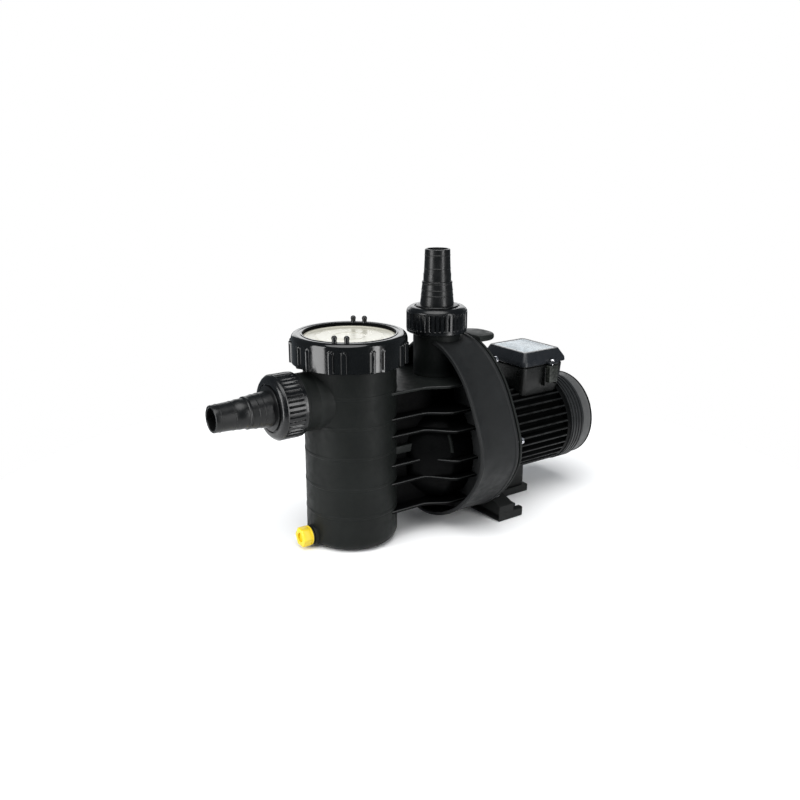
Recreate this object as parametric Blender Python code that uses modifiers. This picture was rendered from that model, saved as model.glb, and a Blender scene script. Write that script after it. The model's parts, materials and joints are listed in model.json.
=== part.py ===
"""Swimming pool pump with a strainer pot, a spiral pump casing and a finned electric motor.

Metres, +Z up.  The origin is on the floor, under the middle of the strainer pot.  The pump and
motor axis runs along +X at AXIS_Z above the floor; the suction pipe points to -X and the
pressure pipe to +Z.  Every visible and internal piece is an object of its own.
"""
import math

import bmesh
import bpy
from mathutils import Matrix, Vector

# ---------------------------------------------------------------- driving dimensions
GAP = 0.0003                      # free space left between two pieces that touch
AXIS_Z = 0.100                    # pump and motor axis above the floor
FINE, MEDIUM, COARSE = 40, 24, 16   # sides of large, middle and small round pieces

POT_R = 0.0574                    # strainer pot, outside
POT_TOP = 0.2466
POT_BORE = 0.0505                 # inside, below the ledge that carries the basket
POT_FLOOR = 0.0070
LEDGE_Z = 0.2320
MOUTH_R = 0.0524                  # inside, above the ledge
THREAD_R = 0.0598                 # pot thread under the ring nut
THREAD_Z = (0.2362, 0.2452)
POT_EDGE = 0.0150                 # rounding of the pot's lower edge
EYE_R = 0.0220                    # water way from the pot to the impeller

BASKET_RIM_R, BASKET_RIM_Z = 0.0516, 0.2352
BASKET_TOP_R, BASKET_LOW_R = 0.0478, 0.0420
BASKET_FLOOR_Z, BASKET_THICK = 0.0560, 0.0020

RING_R = 0.0701                   # ring nut of the lid
RING_LOW, RING_TOP = 0.2303, 0.2657
RING_RIB = 0.0027                 # how far its grip ribs stand proud
RIB_PAIRS = 9
RIB_PAIR_START = -173.3           # degrees about the pot axis
RIB_HALF_SPREAD = 6.25
LIP_R = 0.0559                    # opening of the ring nut above the clear lid
RING_BORE = 0.0606
LIP_Z = 0.2615
GRIP_HALF, GRIP_TOP = 0.0034, 0.2570
PEG_SIDES = (-131.5, 46.0)        # degrees: two pairs of tool pegs on the ring nut
PEG_R, PEG_TOP, PEG_SPREAD = 0.0032, 0.2738, 7.0
PEG_INSET = 0.0034                # middle of a peg outside the ring nut's opening
CLEAR_R, CLEAR_Z = 0.0600, (0.2504, 0.2612)   # clear lid
CLEAR_THICK = 0.0040

INLET_Z = 0.1888
INLET_FACE = -0.0775              # back edge of the suction union nut
OUTLET_X = 0.1322
OUTLET_FACE = 0.2505              # lower edge of the pressure union nut
UNION_R = 0.0390
UNION_LENGTH = 0.0325
SPIGOT_R, SPIGOT_LENGTH = 0.0325, 0.0150  # threaded end of the casing inside a union nut
NECK_R, RISER_R = 0.0360, 0.0310  # suction and pressure pipe behind the spigots
PIPE_BORE = 0.0190
TAIL_TIP_R = 0.0160               # hose tail: 32 mm step, then 38 mm step
TAIL_LENGTH = 0.1045
TAIL_BORE = 0.0130

DRUM_FRONT, DRUM_REAR = 0.110, 0.170      # spiral casing along the pump axis
DRUM_FACE = (0.137, 0.143)                # its front wall, set back behind a skirt
DRUM_WALL, SKIRT_WALL = 0.0125, 0.0050
HUB_R, HUB_BORE = 0.0740, 0.0665          # round housing of the impeller in front of the drum
HUB_FLOOR = 0.117
RIBS = ((0.194, 0.065), (0.161, 0.070), (0.139, 0.079),   # height and reach of the side ribs
        (0.101, 0.083), (0.077, 0.081), (0.040, 0.066))
RIB_THICK = 0.0036
RIB_START, RIB_NEAR = 0.026, 0.050        # first X of a rib, and its reach beside the pot
RIB_SWING = (0.072, 0.110)                # along X, where a rib swings out to its full reach
WEB_HALF = 0.034
WEB_Z = (0.0283, 0.1952)
CONE_X, CONE_R = 0.060, 0.040             # small end of the cone that widens to the hub
RISER_FOOT = (0.1962, 0.2120)             # lower end of the riser, and the end of its bore

PLATE_FRONT, PLATE_REAR = 0.1718, 0.1760  # seal plate that closes the drum
BOLT_ANGLES = (12, 62, 118, 168, 220, 320)
BOLT_INSET, BOLT_R, BOLT_HEAD_R = 0.0055, 0.0022, 0.0046
TAB_Z, TAB_END = (0.2365, 0.2440), 0.2085   # flat tab on top of the seal plate
TAB_MIDDLE, TAB_HALF, TAB_CORNER = -0.0115, 0.0270, 0.0220

SHIELD_R = 0.0720                 # motor end shield at the pump
BARREL = (0.2053, 0.3180)         # finned motor barrel
BARREL_BORE, FIN_ROOT, FIN_TIP = 0.0500, 0.0535, 0.0620
FIN_COUNT = 36
COWL = (0.3254, 0.3740)
COWL_R = 0.0628

BOX_X = (0.2470, 0.3230)          # terminal box at its joint
BOX_HALF = 0.0430
BOX_JOINT = 0.1920
BOX_TOP = 0.2103
BOX_ROOM_HALF = 0.0330
LID_TOP = (0.2536, 0.3186, 0.0370)  # start, end and half width of the lid's flat top
LID_OVERHANG = 0.0040               # of the lid beyond the base at the gland's end
LABEL = (0.2579, 0.3143, 0.0321)    # start, end and half width
BOX_SCREWS = ((0.2960, -0.0470), (0.2740, 0.0470))
EAR_HALF = (0.0085, 0.0045)       # lugs and ears that the box screws pass through
GLAND_Y, GLAND_Z = -0.0180, 0.1790

FOOT_X = (0.1785, 0.2225)
FOOT_HALF = 0.0810
PEDESTAL_END, PEDESTAL_HALF = 0.2840, 0.0210

DRAIN_Z = 0.0160
DRAIN_HEAD = (-0.0760, -0.0605)   # along X
DRAIN_HEX = 0.0130                # head, centre to corner

BLACK = (0.020, 0.021, 0.022)
TURN = {"X": (0.0, math.pi / 2, 0.0), "-X": (0.0, -math.pi / 2, 0.0), "Z": (0.0, 0.0, 0.0)}
FLAT = {
    "XY": (0.0, 0.0, 0.0),
    "YZ": (math.pi / 2, 0.0, math.pi / 2),
}


# ---------------------------------------------------------------- scene and helpers
def empty_scene():
    for item in list(bpy.data.objects):
        bpy.data.objects.remove(item, do_unlink=True)


def new_collection(name):
    made = bpy.data.collections.new(name)
    bpy.context.scene.collection.children.link(made)
    return made


empty_scene()
PARTS = new_collection("pool_pump")
CUTTERS = new_collection("cutters")
AXES = new_collection("joint_axes")


def material(name, colour, roughness, metallic=0.0):
    made = bpy.data.materials.get(name)
    if made is None:
        made = bpy.data.materials.new(name)
        made.use_nodes = True
        shader = made.node_tree.nodes["Principled BSDF"]
        shader.inputs["Base Color"].default_value = (*colour, 1.0)
        shader.inputs["Roughness"].default_value = roughness
        shader.inputs["Metallic"].default_value = metallic
    return made


def place(name, mesh, at=(0.0, 0.0, 0.0), turn=(0.0, 0.0, 0.0)):
    piece = bpy.data.objects.new(name, mesh)
    piece.location = at
    piece.rotation_euler = turn
    PARTS.objects.link(piece)
    return piece


def turned(name, profile, axis="Z", at=(0.0, 0.0, 0.0), steps=MEDIUM):
    """Turn (radius, height) points about an axis; they run down the outer side."""
    count = len(profile)
    open_on_axis = profile[0][0] == 0.0 and profile[-1][0] == 0.0
    edges = [(i, i + 1) for i in range(count - 1)]
    if not open_on_axis:
        edges.append((count - 1, 0))
    mesh = bpy.data.meshes.new(name)
    mesh.from_pydata([(r, 0.0, h) for r, h in profile], edges, [])
    piece = place(name, mesh, at, TURN[axis])
    screw = piece.modifiers.new("Turn", "SCREW")
    screw.steps = screw.render_steps = steps
    screw.use_merge_vertices = True
    screw.merge_threshold = 0.00001
    screw.use_smooth_shade = False
    return piece


def cylinder(name, radius, low, high, axis="Z", at=(0.0, 0.0, 0.0), steps=MEDIUM):
    return turned(name, [(0.0, high), (radius, high), (radius, low), (0.0, low)], axis, at, steps)


def ring(name, outer, inner, low, high, axis="Z", at=(0.0, 0.0, 0.0), steps=MEDIUM):
    return turned(name, [(outer, high), (outer, low), (inner, low), (inner, high)], axis, at, steps)


def o_ring(name, radius, section, height, axis="Z", at=(0.0, 0.0, 0.0), steps=MEDIUM):
    around = [-math.pi * i / 3 for i in range(6)]
    profile = [(radius + section * math.cos(a), height + section * math.sin(a)) for a in around]
    return turned(name, profile, axis, at, steps)


def box(name, low, high):
    size = Vector(high) - Vector(low)
    mesh = bpy.data.meshes.new(name)
    shape = bmesh.new()
    bmesh.ops.create_cube(shape, size=1.0)
    bmesh.ops.scale(shape, vec=size, verts=shape.verts)
    shape.to_mesh(mesh)
    shape.free()
    return place(name, mesh, (Vector(low) + Vector(high)) / 2)


def box_on_axis(name, low, high, axis, angle, at=(0.0, 0.0, 0.0)):
    """Box with corners measured from a point on an axis, turned about that axis by degrees."""
    piece = box(name, low, high)
    piece.data.transform(Matrix.Translation(piece.location))
    piece.location = at
    piece.rotation_euler["XYZ".index(axis)] = math.radians(angle)
    return piece


def plate(name, outlines, low, high, plane="XY"):
    """Flat outline, with holes as further outlines, drawn in a plane and made thick along its normal."""
    curve = bpy.data.curves.new(name, "CURVE")
    curve.dimensions = "2D"
    curve.fill_mode = "BOTH"
    curve.extrude = (high - low) / 2
    for outline in outlines:
        spline = curve.splines.new("POLY")
        spline.points.add(len(outline) - 1)
        spline.use_cyclic_u = True
        for point, (a, b) in zip(spline.points, outline):
            point.co = (a, b, 0.0, 1.0)
    source = bpy.data.objects.new(name + "_outline", curve)
    CUTTERS.objects.link(source)
    graph = bpy.context.evaluated_depsgraph_get()
    mesh = bpy.data.meshes.new_from_object(source.evaluated_get(graph))
    bpy.data.objects.remove(source, do_unlink=True)
    bpy.data.curves.remove(curve)
    shape = bmesh.new()
    shape.from_mesh(mesh)
    bmesh.ops.remove_doubles(shape, verts=shape.verts, dist=0.000001)
    bmesh.ops.recalc_face_normals(shape, faces=shape.faces)
    shape.to_mesh(mesh)
    shape.free()
    mesh.name = name
    middle = (low + high) / 2
    at = {"XY": (0, 0, middle), "YZ": (middle, 0, 0)}[plane]
    return place(name, mesh, at, FLAT[plane])


def combine(piece, operation, *others):
    """Cut away or add other shapes; they become hidden construction shapes."""
    for other in others:
        change = piece.modifiers.new(other.name, "BOOLEAN")
        change.operation = operation
        change.solver = "EXACT"
        change.object = other
        PARTS.objects.unlink(other)
        CUTTERS.objects.link(other)
        other.hide_render = True
        other.display_type = "WIRE"
    return piece


def cut(piece, *others):
    return combine(piece, "DIFFERENCE", *others)


def join(piece, *others):
    return combine(piece, "UNION", *others)


def finish(piece, colour=BLACK, roughness=0.45, metallic=0.0, look="black_plastic"):
    piece.data.materials.clear()
    piece.data.materials.append(material(look, colour, roughness, metallic))
    return piece


def polar(angle, radius, centre=(0.0, 0.0)):
    """Point at an angle in degrees about a centre."""
    turn = math.radians(angle)
    return (centre[0] + radius * math.cos(turn), centre[1] + radius * math.sin(turn))


def circle(radius, centre=(0.0, 0.0), sides=MEDIUM):
    return [polar(360.0 * i / sides, radius, centre) for i in range(sides)]


# ---------------------------------------------------------------- spiral casing outline
# Radius of the drum about the pump axis.  0 degrees is +Y, 90 is up, 180 is -Y.
SPIRAL = (
    (0, 0.093), (30, 0.095), (55, 0.108), (75, 0.131), (90, 0.145), (102, 0.1455), (113, 0.142),
    (125, 0.1365), (144, 0.1275), (156, 0.1250), (168, 0.1250), (180, 0.1225), (190, 0.1165),
    (200, 0.1105), (214, 0.104), (240, 0.097), (270, 0.095), (315, 0.0935),
)


def spiral_radius(angle):
    """Smooth radius through the SPIRAL points, the same again every 360 degrees."""
    angle = angle % 360.0
    count = len(SPIRAL)
    after = next((i for i, (a, _) in enumerate(SPIRAL) if a > angle), count)
    knots = []
    for i in range(after - 2, after + 2):
        knots.append((SPIRAL[i % count][0] + 360.0 * (i // count), SPIRAL[i % count][1]))
    (a0, r0), (a1, r1), (a2, r2), (a3, r3) = knots
    t = (angle - a1) / (a2 - a1)
    m1 = (r2 - r0) / (a2 - a0) * (a2 - a1)
    m2 = (r3 - r1) / (a3 - a1) * (a2 - a1)
    return (
        (2 * t**3 - 3 * t**2 + 1) * r1 + (t**3 - 2 * t**2 + t) * m1
        + (3 * t**2 - 2 * t**3) * r2 + (t**3 - t**2) * m2
    )


def drum_point(angle, inset):
    return polar(angle, spiral_radius(angle) - inset, (0.0, AXIS_Z))


def drum_outline(inset, sides=36):
    return [drum_point(360.0 * i / sides, inset) for i in range(sides)]


# ---------------------------------------------------------------- pump housing
def rib_outline(reach):
    """Plan of one side rib: straight beside the pot, then swinging out to the drum."""
    start, end = RIB_SWING
    near = [(RIB_START, RIB_NEAR)]
    for i in range(7):
        t = i / 6
        near.append((start + (end - start) * t, RIB_NEAR + (reach - RIB_NEAR) * t * t * (3 - 2 * t)))
    near.append((DRUM_FACE[0] + 0.002, reach))
    return [(x, -y) for x, y in near] + [(x, y) for x, y in reversed(near)]


def strainer_pot():
    """Cup with the ring nut's thread, the basket's ledge and the drain plug's boss."""
    corner = [(POT_R - POT_EDGE + POT_EDGE * math.cos(a), POT_EDGE - POT_EDGE * math.sin(a))
              for a in (math.pi / 8 * i for i in range(5))]
    pot = turned("strainer_pot", [(0.0, POT_TOP), (POT_R, POT_TOP), *corner, (0.0, 0.0)], steps=FINE)
    thread = cylinder("pot_thread", THREAD_R, *THREAD_Z, steps=FINE)
    boss = cylinder("drain_boss", 0.0125, 0.045, -DRAIN_HEAD[1] - GAP, "-X", (0, 0, DRAIN_Z), COARSE)
    join(pot, thread, boss)
    inside = turned("pot_inside", [(0.0, 0.300), (MOUTH_R, 0.300), (MOUTH_R, LEDGE_Z),
                                   (POT_BORE, LEDGE_Z), (POT_BORE, POT_FLOOR + 0.008),
                                   (POT_BORE - 0.008, POT_FLOOR), (0.0, POT_FLOOR)], steps=FINE)
    suction = cylinder("suction_hole", PIPE_BORE, 0.040, 0.070, "-X", (0, 0, INLET_Z))
    eye = cylinder("pot_eye", EYE_R, 0.040, 0.070, "X", (0, 0, AXIS_Z))
    drain = cylinder("drain_hole", 0.0082, 0.040, 0.080, "-X", (0, 0, DRAIN_Z), COARSE)
    cut(pot, inside, suction, eye, drain)
    return finish(pot, roughness=0.55, look="casing_black")


def pot_clearance(name):
    return cylinder(name, POT_R + GAP, -0.010, 0.300, steps=FINE)


def suction_neck():
    """Short pipe with a threaded spigot, fitted to the pot's wall."""
    face, start = -INLET_FACE, 0.0440
    neck = turned("suction_neck", [(SPIGOT_R, face + SPIGOT_LENGTH), (SPIGOT_R, face), (NECK_R, face),
                                   (NECK_R, start), (PIPE_BORE, start),
                                   (PIPE_BORE, face + SPIGOT_LENGTH)], "-X", (0.0, 0.0, INLET_Z))
    cut(neck, pot_clearance("neck_clearance"))
    return finish(neck, roughness=0.55, look="casing_black")


def rib_web():
    """Web between pot and drum with side ribs, and the impeller's round housing with the water way."""
    end, at = DRUM_FACE[0] - GAP, (0.0, 0.0, AXIS_Z)
    web = box("rib_web", (0.0215, -WEB_HALF, WEB_Z[0]), (end + 0.003, WEB_HALF, WEB_Z[1]))
    hub = turned("hub", [(0.0, end + 0.004), (HUB_R, end + 0.004), (HUB_R, DRUM_FRONT - 0.006),
                         (CONE_R, CONE_X), (0.0, CONE_X)], "X", at)
    ribs = [plate(f"rib_{i}", [rib_outline(reach)], level - RIB_THICK / 2, level + RIB_THICK / 2)
            for i, (level, reach) in enumerate(RIBS)]
    join(web, hub, *ribs)
    drum_face = box("drum_face", (end, -0.120, 0.0), (end + 0.020, 0.120, 0.240))
    room = cylinder("impeller_room", HUB_BORE, HUB_FLOOR, end + 0.020, "X", at)
    eye = cylinder("web_eye", EYE_R, 0.010, HUB_FLOOR + 0.005, "X", at)
    around = [(-0.2, -0.1), (0.2, -0.1), (0.2, 0.3), (-0.2, 0.3)]
    skirt = plate("skirt_clearance", [around, drum_outline(SKIRT_WALL + GAP)],
                  DRUM_FRONT - GAP, end + 0.010, "YZ")
    cut(web, pot_clearance("web_clearance"), drum_face, skirt, room, eye)
    return finish(web, roughness=0.55, look="casing_black")


def riser_way():
    """Room in the skirt for the riser's front half, up to just past the drum's front wall."""
    radius, end = RISER_R + GAP, DRUM_FACE[0] + 0.0001
    arc = [polar(a, radius, (OUTLET_X, 0.0)) for a in range(95, 266, 10)]
    return plate("riser_way", [[(end, radius), *arc, (end, -radius)]], 0.190, 0.280)


def pump_casing():
    """Spiral drum, open to the rear, with a skirt in front of its front wall."""
    drum = plate("pump_casing", [drum_outline(0.0)], DRUM_FRONT, DRUM_REAR, "YZ")
    recess = plate("recess", [drum_outline(SKIRT_WALL)], DRUM_FRONT - 0.010, DRUM_FACE[0], "YZ")
    chamber = plate("chamber", [drum_outline(DRUM_WALL)], DRUM_FACE[1], DRUM_REAR + 0.010, "YZ")
    opening = cylinder("drum_opening", HUB_BORE, 0.130, 0.150, "X", (0, 0, AXIS_Z))
    pressure = cylinder("pressure_hole", PIPE_BORE, RISER_FOOT[1], 0.300, "Z", (OUTLET_X, 0, 0))
    cut(drum, recess, chamber, opening, riser_way(), pressure)
    for i, angle in enumerate(BOLT_ANGLES):
        y, z = drum_point(angle, BOLT_INSET)
        cut(drum, cylinder(f"bolt_hole_{i}", BOLT_R + 0.0004, 0.148, 0.180, "X", (0, y, z), 8))
    return finish(drum, roughness=0.55, look="casing_black")


def pressure_riser():
    """Pipe with a threaded spigot; its front half runs down in front of the drum's front wall."""
    face = OUTLET_FACE
    riser = turned("pressure_riser", [(0.0, face + SPIGOT_LENGTH), (SPIGOT_R, face + SPIGOT_LENGTH),
                                      (SPIGOT_R, face), (RISER_R, face - 0.0010),
                                      (RISER_R, RISER_FOOT[0]), (0.0, RISER_FOOT[0])],
                   "Z", (OUTLET_X, 0.0, 0.0))
    bore = cylinder("riser_bore", PIPE_BORE, RISER_FOOT[1], 0.300, "Z", (OUTLET_X, 0.0, 0.0))
    clearance = plate("riser_clearance", [drum_outline(-GAP)], DRUM_FACE[0] - GAP, DRUM_REAR + 0.010, "YZ")
    cut(riser, bore, clearance)
    return finish(riser, roughness=0.55, look="casing_black")


def seal_plate():
    """Rear cover of the drum, with the tab that stands out over the motor."""
    holes = [circle(0.0095, (0.0, AXIS_Z), COARSE)]
    holes += [circle(0.0029, drum_point(angle, BOLT_INSET), 8) for angle in BOLT_ANGLES]
    cover = plate("seal_plate", [drum_outline(0.0010)] + holes, PLATE_FRONT, PLATE_REAR, "YZ")
    rounding = [polar(a, TAB_CORNER) for a in (0, 30, 60, 90)]
    far = [(TAB_END - TAB_CORNER + a, TAB_MIDDLE + TAB_HALF - TAB_CORNER + b) for a, b in rounding]
    near = [(x, 2 * TAB_MIDDLE - y) for x, y in reversed(far)]
    tab = plate("tab", [[(PLATE_FRONT + 0.001, TAB_MIDDLE - TAB_HALF), *near, *far,
                         (PLATE_FRONT + 0.001, TAB_MIDDLE + TAB_HALF)]], *TAB_Z)
    join(cover, tab)
    return finish(cover, roughness=0.55, look="casing_black")


def casing_gasket():
    gasket = plate("casing_gasket", [drum_outline(0.0090), drum_outline(0.0118)],
                   DRUM_REAR + GAP, PLATE_FRONT - GAP, "YZ")
    return finish(gasket, (0.015, 0.015, 0.015), 0.8, look="rubber")


def casing_bolts():
    for i, angle in enumerate(BOLT_ANGLES):
        y, z = drum_point(angle, BOLT_INSET)
        name = f"casing_bolt_{i + 1}"
        bolt = turned(name, [(0.0, PLATE_REAR + 0.0045), (BOLT_HEAD_R, PLATE_REAR + 0.0045),
                             (BOLT_HEAD_R, PLATE_REAR + GAP), (BOLT_R, PLATE_REAR + GAP),
                             (BOLT_R, 0.1520), (0.0, 0.1520)], "X", (0, y, z), 6)
        finish(bolt, (0.60, 0.60, 0.62), 0.3, 1.0, "steel")


# ---------------------------------------------------------------- lid and strainer
def lid_ring():
    edge = 0.006
    corner = [(RING_R - edge + edge * math.sin(a), RING_TOP - edge + edge * math.cos(a))
              for a in (math.pi / 6 * i for i in range(4))]
    nut = turned("lid_ring", [*corner, (RING_R, RING_LOW), (RING_BORE, RING_LOW), (RING_BORE, LIP_Z),
                              (LIP_R, LIP_Z), (LIP_R, RING_TOP)], steps=FINE)
    for pair in range(RIB_PAIRS):
        for side in (-1, 1):
            angle = RIB_PAIR_START + 360.0 / RIB_PAIRS * pair + side * RIB_HALF_SPREAD
            join(nut, box_on_axis(f"grip_{pair}_{side}", (RING_R - 0.004, -GRIP_HALF, RING_LOW + 0.0002),
                                  (RING_R + RING_RIB, GRIP_HALF, GRIP_TOP), "Z", angle))
    for centre in PEG_SIDES:
        for side in (-PEG_SPREAD, PEG_SPREAD):
            x, y = polar(centre + side, LIP_R + PEG_INSET)
            foot_z = RING_TOP - 0.0017
            join(nut, turned(f"peg_{centre:.0f}_{side:.0f}",
                             [(0.0, PEG_TOP), (PEG_R - 0.0012, PEG_TOP - 0.0004),
                              (PEG_R, PEG_TOP - 0.0018), (PEG_R, foot_z), (0.0, foot_z)],
                             "Z", (x, y, 0.0), 10))
    return finish(nut, roughness=0.18, look="gloss_black")


def clear_lid():
    low, high = CLEAR_Z
    lid = turned("clear_lid", [(0.0, high), (CLEAR_R, high), (CLEAR_R, low), (0.0515, low),
                               (0.0505, high - CLEAR_THICK), (0.0, high - CLEAR_THICK)], steps=FINE)
    return finish(lid, (0.85, 0.85, 0.80), 0.08, look="clear_plastic")


def lid_o_ring():
    seal = o_ring("lid_o_ring", 0.0556, 0.0016, 0.2485, steps=32)
    return finish(seal, (0.015, 0.015, 0.015), 0.6, look="rubber")


def strainer_basket():
    """Basket with a hole towards the suction pipe, slots all round and a handle bar."""
    basket = turned("strainer_basket", [
        (BASKET_RIM_R, BASKET_RIM_Z), (BASKET_RIM_R, LEDGE_Z + GAP), (BASKET_TOP_R, LEDGE_Z + GAP),
        (BASKET_LOW_R, BASKET_FLOOR_Z), (0.0, BASKET_FLOOR_Z), (0.0, BASKET_FLOOR_Z + BASKET_THICK),
        (BASKET_LOW_R - BASKET_THICK, BASKET_FLOOR_Z + BASKET_THICK),
        (BASKET_TOP_R - BASKET_THICK, BASKET_RIM_Z)], steps=24)
    mouth = cylinder("basket_mouth", PIPE_BORE, 0.020, 0.070, "-X", (0, 0, INLET_Z), 16)
    cut(basket, mouth)
    for i in range(4):
        cut(basket, box_on_axis(f"slot_{i}", (-0.060, -0.0035, 0.0640), (0.060, 0.0035, 0.1620),
                                "Z", 45.0 * i + 22.5))
    bar = box("handle_bar", (-0.0470, -0.0035, 0.2290), (0.0470, 0.0035, 0.2340))
    join(basket, bar)
    return finish(basket, (0.80, 0.77, 0.66), 0.5, look="cream_plastic")


# ---------------------------------------------------------------- pipe unions
def pipe_union(prefix, axis, at):
    """Union nut, seal ring and stepped hose tail on a threaded spigot; heights run outwards."""
    nut = turned(f"{prefix}_union_nut", [
        (0.0330, UNION_LENGTH), (UNION_R, UNION_LENGTH - 0.006), (UNION_R, 0.0003),
        (0.0333, 0.0003), (0.0333, 0.0230), (0.0272, 0.0230), (0.0272, UNION_LENGTH)],
        axis, at, MEDIUM)
    finish(nut, roughness=0.30, look="gloss_black")
    seal = o_ring(f"{prefix}_o_ring", 0.0268, 0.0016, 0.0169, axis, at, COARSE)
    finish(seal, (0.015, 0.015, 0.015), 0.6, look="rubber")
    step = TAIL_LENGTH - 0.040
    tail = turned(f"{prefix}_hose_tail", [
        (TAIL_TIP_R, TAIL_LENGTH), (0.0175, step), (0.0190, step), (0.0215, 0.0340),
        (0.0268, 0.0335), (0.0268, 0.0227), (0.0328, 0.0227), (0.0328, 0.0188),
        (TAIL_BORE + 0.003, 0.0188), (TAIL_BORE, 0.060), (TAIL_BORE, TAIL_LENGTH)], axis, at)
    finish(tail, roughness=0.40, look="satin_black")


# ---------------------------------------------------------------- drain
def drain():
    """Hexagonal yellow plug with a round shank, and its seal ring."""
    low, high = -DRAIN_HEAD[1], -DRAIN_HEAD[0]
    plug = turned("drain_plug", [(0.0, high), (DRAIN_HEX - 0.003, high), (DRAIN_HEX, high - 0.003),
                                 (DRAIN_HEX, low + 0.0026), (0.0, low + 0.0026)],
                  "-X", (0, 0, DRAIN_Z), 6)
    shank = cylinder("drain_shank", 0.0076, 0.0515, low + 0.0050, "-X", (0, 0, DRAIN_Z), COARSE)
    join(plug, shank)
    finish(plug, (0.86, 0.66, 0.02), 0.4, look="yellow_plastic")
    seal = ring("drain_seal", 0.0108, 0.0080, low + GAP, low + 0.0022, "-X", (0, 0, DRAIN_Z), COARSE)
    finish(seal, (0.015, 0.015, 0.015), 0.7, look="rubber")


# ---------------------------------------------------------------- wet end
def impeller():
    wheel = turned("impeller", [(0.0120, 0.1500), (0.0120, 0.1430), (0.0560, 0.1430),
                                (0.0560, 0.1405), (0.0130, 0.1405), (0.0100, 0.1280),
                                (0.0063, 0.1280), (0.0063, 0.1500)],
                   "X", (0, 0, AXIS_Z), MEDIUM)
    vanes = 6
    for i in range(vanes):
        start = 360.0 * i / vanes
        sweep = [(start + 14.0 * k, 0.0083 + 0.0115 * k) for k in range(5)]
        outer = [polar(a, r, (0.0, AXIS_Z)) for a, r in sweep]
        inner = [polar(a - 0.075 / r, r, (0.0, AXIS_Z)) for a, r in reversed(sweep)]
        join(wheel, plate(f"vane_{i}", [outer + inner], 0.1290, 0.1412, "YZ"))
    return finish(wheel, (0.05, 0.05, 0.055), 0.4, look="impeller_plastic")


def diffuser():
    cup = turned("diffuser", [(0.0640, 0.1660), (0.0640, 0.1210), (0.0235, 0.1210), (0.0235, 0.1240),
                              (0.0605, 0.1240), (0.0605, 0.1660)], "X", (0, 0, AXIS_Z))
    for i in range(3):
        cut(cup, box_on_axis(f"window_{i}", (-0.0105, -0.080, -0.0075), (0.0105, 0.080, 0.0075),
                             "X", 60.0 * i, (0.1395, 0.0, AXIS_Z)))
    return finish(cup, (0.05, 0.05, 0.055), 0.5, look="impeller_plastic")


def shaft_seal():
    at = (0, 0, AXIS_Z)
    seat = ring("seal_seat", 0.0140, 0.0085, 0.1650, PLATE_FRONT - GAP, "X", at, COARSE)
    finish(seat, (0.75, 0.73, 0.68), 0.3, look="ceramic")
    face = turned("seal_face", [(0.0115, 0.1645), (0.0115, 0.1560), (0.0100, 0.1530),
                                (0.0072, 0.1530), (0.0072, 0.1645)], "X", at, COARSE)
    finish(face, (0.10, 0.10, 0.10), 0.5, look="carbon")


# ---------------------------------------------------------------- motor
def shaft():
    rod = turned("shaft", [(0.0, 0.3610), (0.0058, 0.3610), (0.0058, 0.3360), (0.0075, 0.3330),
                           (0.0075, 0.3200), (0.0100, 0.3190), (0.0100, 0.1985), (0.0075, 0.1975),
                           (0.0075, 0.1860), (0.0068, 0.1820), (0.0068, 0.1520), (0.0058, 0.1510),
                           (0.0058, 0.1270), (0.0, 0.1270)], "X", (0, 0, AXIS_Z), COARSE)
    return finish(rod, (0.55, 0.55, 0.57), 0.25, 1.0, "steel")


def motor_inside():
    at = (0, 0, AXIS_Z)
    finish(ring("stator_core", 0.0496, 0.0303, 0.2250, 0.3000, "X", at), (0.25, 0.25, 0.27), 0.5,
           0.8, "lamination")
    finish(ring("rotor_core", 0.0296, 0.0104, 0.2250, 0.3000, "X", at), (0.30, 0.30, 0.32), 0.5,
           0.8, "lamination")
    for name, low, high in (("winding_front", 0.2085, 0.2247), ("winding_rear", 0.3003, 0.3160)):
        finish(turned(name, [(0.0440, high), (0.0460, high - 0.004), (0.0460, low + 0.004),
                             (0.0440, low), (0.0345, low), (0.0325, low + 0.004),
                             (0.0325, high - 0.004), (0.0345, high)], "X", at),
               (0.40, 0.16, 0.05), 0.4, look="copper_winding")
    for name, low, high in (("front_bearing", 0.1862, 0.1965), ("rear_bearing", 0.3205, 0.3305)):
        finish(ring(name, 0.0174, 0.0078, low, high, "X", at), (0.6, 0.6, 0.62), 0.25, 1.0, "steel")


def motor_shields():
    at = (0, 0, AXIS_Z)
    front = turned("front_shield", [
        (0.0600, 0.2050), (SHIELD_R, 0.1880), (SHIELD_R, PLATE_REAR + 0.0050),
        (0.0110, PLATE_REAR + 0.0050), (0.0110, 0.1858), (0.0178, 0.1858), (0.0178, 0.1970),
        (0.0230, 0.1970), (0.0230, 0.1900), (0.0560, 0.1900), (0.0560, 0.2050)], "X", at)
    finish(front, roughness=0.5, look="motor_black")
    rear = turned("rear_shield", [
        (0.0600, 0.3320), (0.0600, 0.3251), (0.0615, 0.3250), (0.0615, 0.3183), (0.0480, 0.3183),
        (0.0480, 0.3230), (0.0230, 0.3230), (0.0230, 0.3195), (0.0178, 0.3195), (0.0178, 0.3310),
        (0.0095, 0.3310), (0.0095, 0.3345), (0.0250, 0.3345)], "X", at)
    finish(rear, roughness=0.5, look="motor_black")


def motor_barrel():
    """Barrel with cooling fins all round; the flanks of a fin taper to its tip."""
    pitch = 360.0 / FIN_COUNT
    outline = []
    for i in range(FIN_COUNT):
        middle = pitch * i
        for shift, radius in ((-0.26, FIN_ROOT), (-0.12, FIN_TIP), (0.12, FIN_TIP), (0.26, FIN_ROOT)):
            outline.append(polar(middle + shift * pitch, radius, (0.0, AXIS_Z)))
    barrel = plate("motor_frame", [outline, circle(BARREL_BORE, (0.0, AXIS_Z))], *BARREL, "YZ")
    return finish(barrel, roughness=0.4, look="motor_black")


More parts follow.
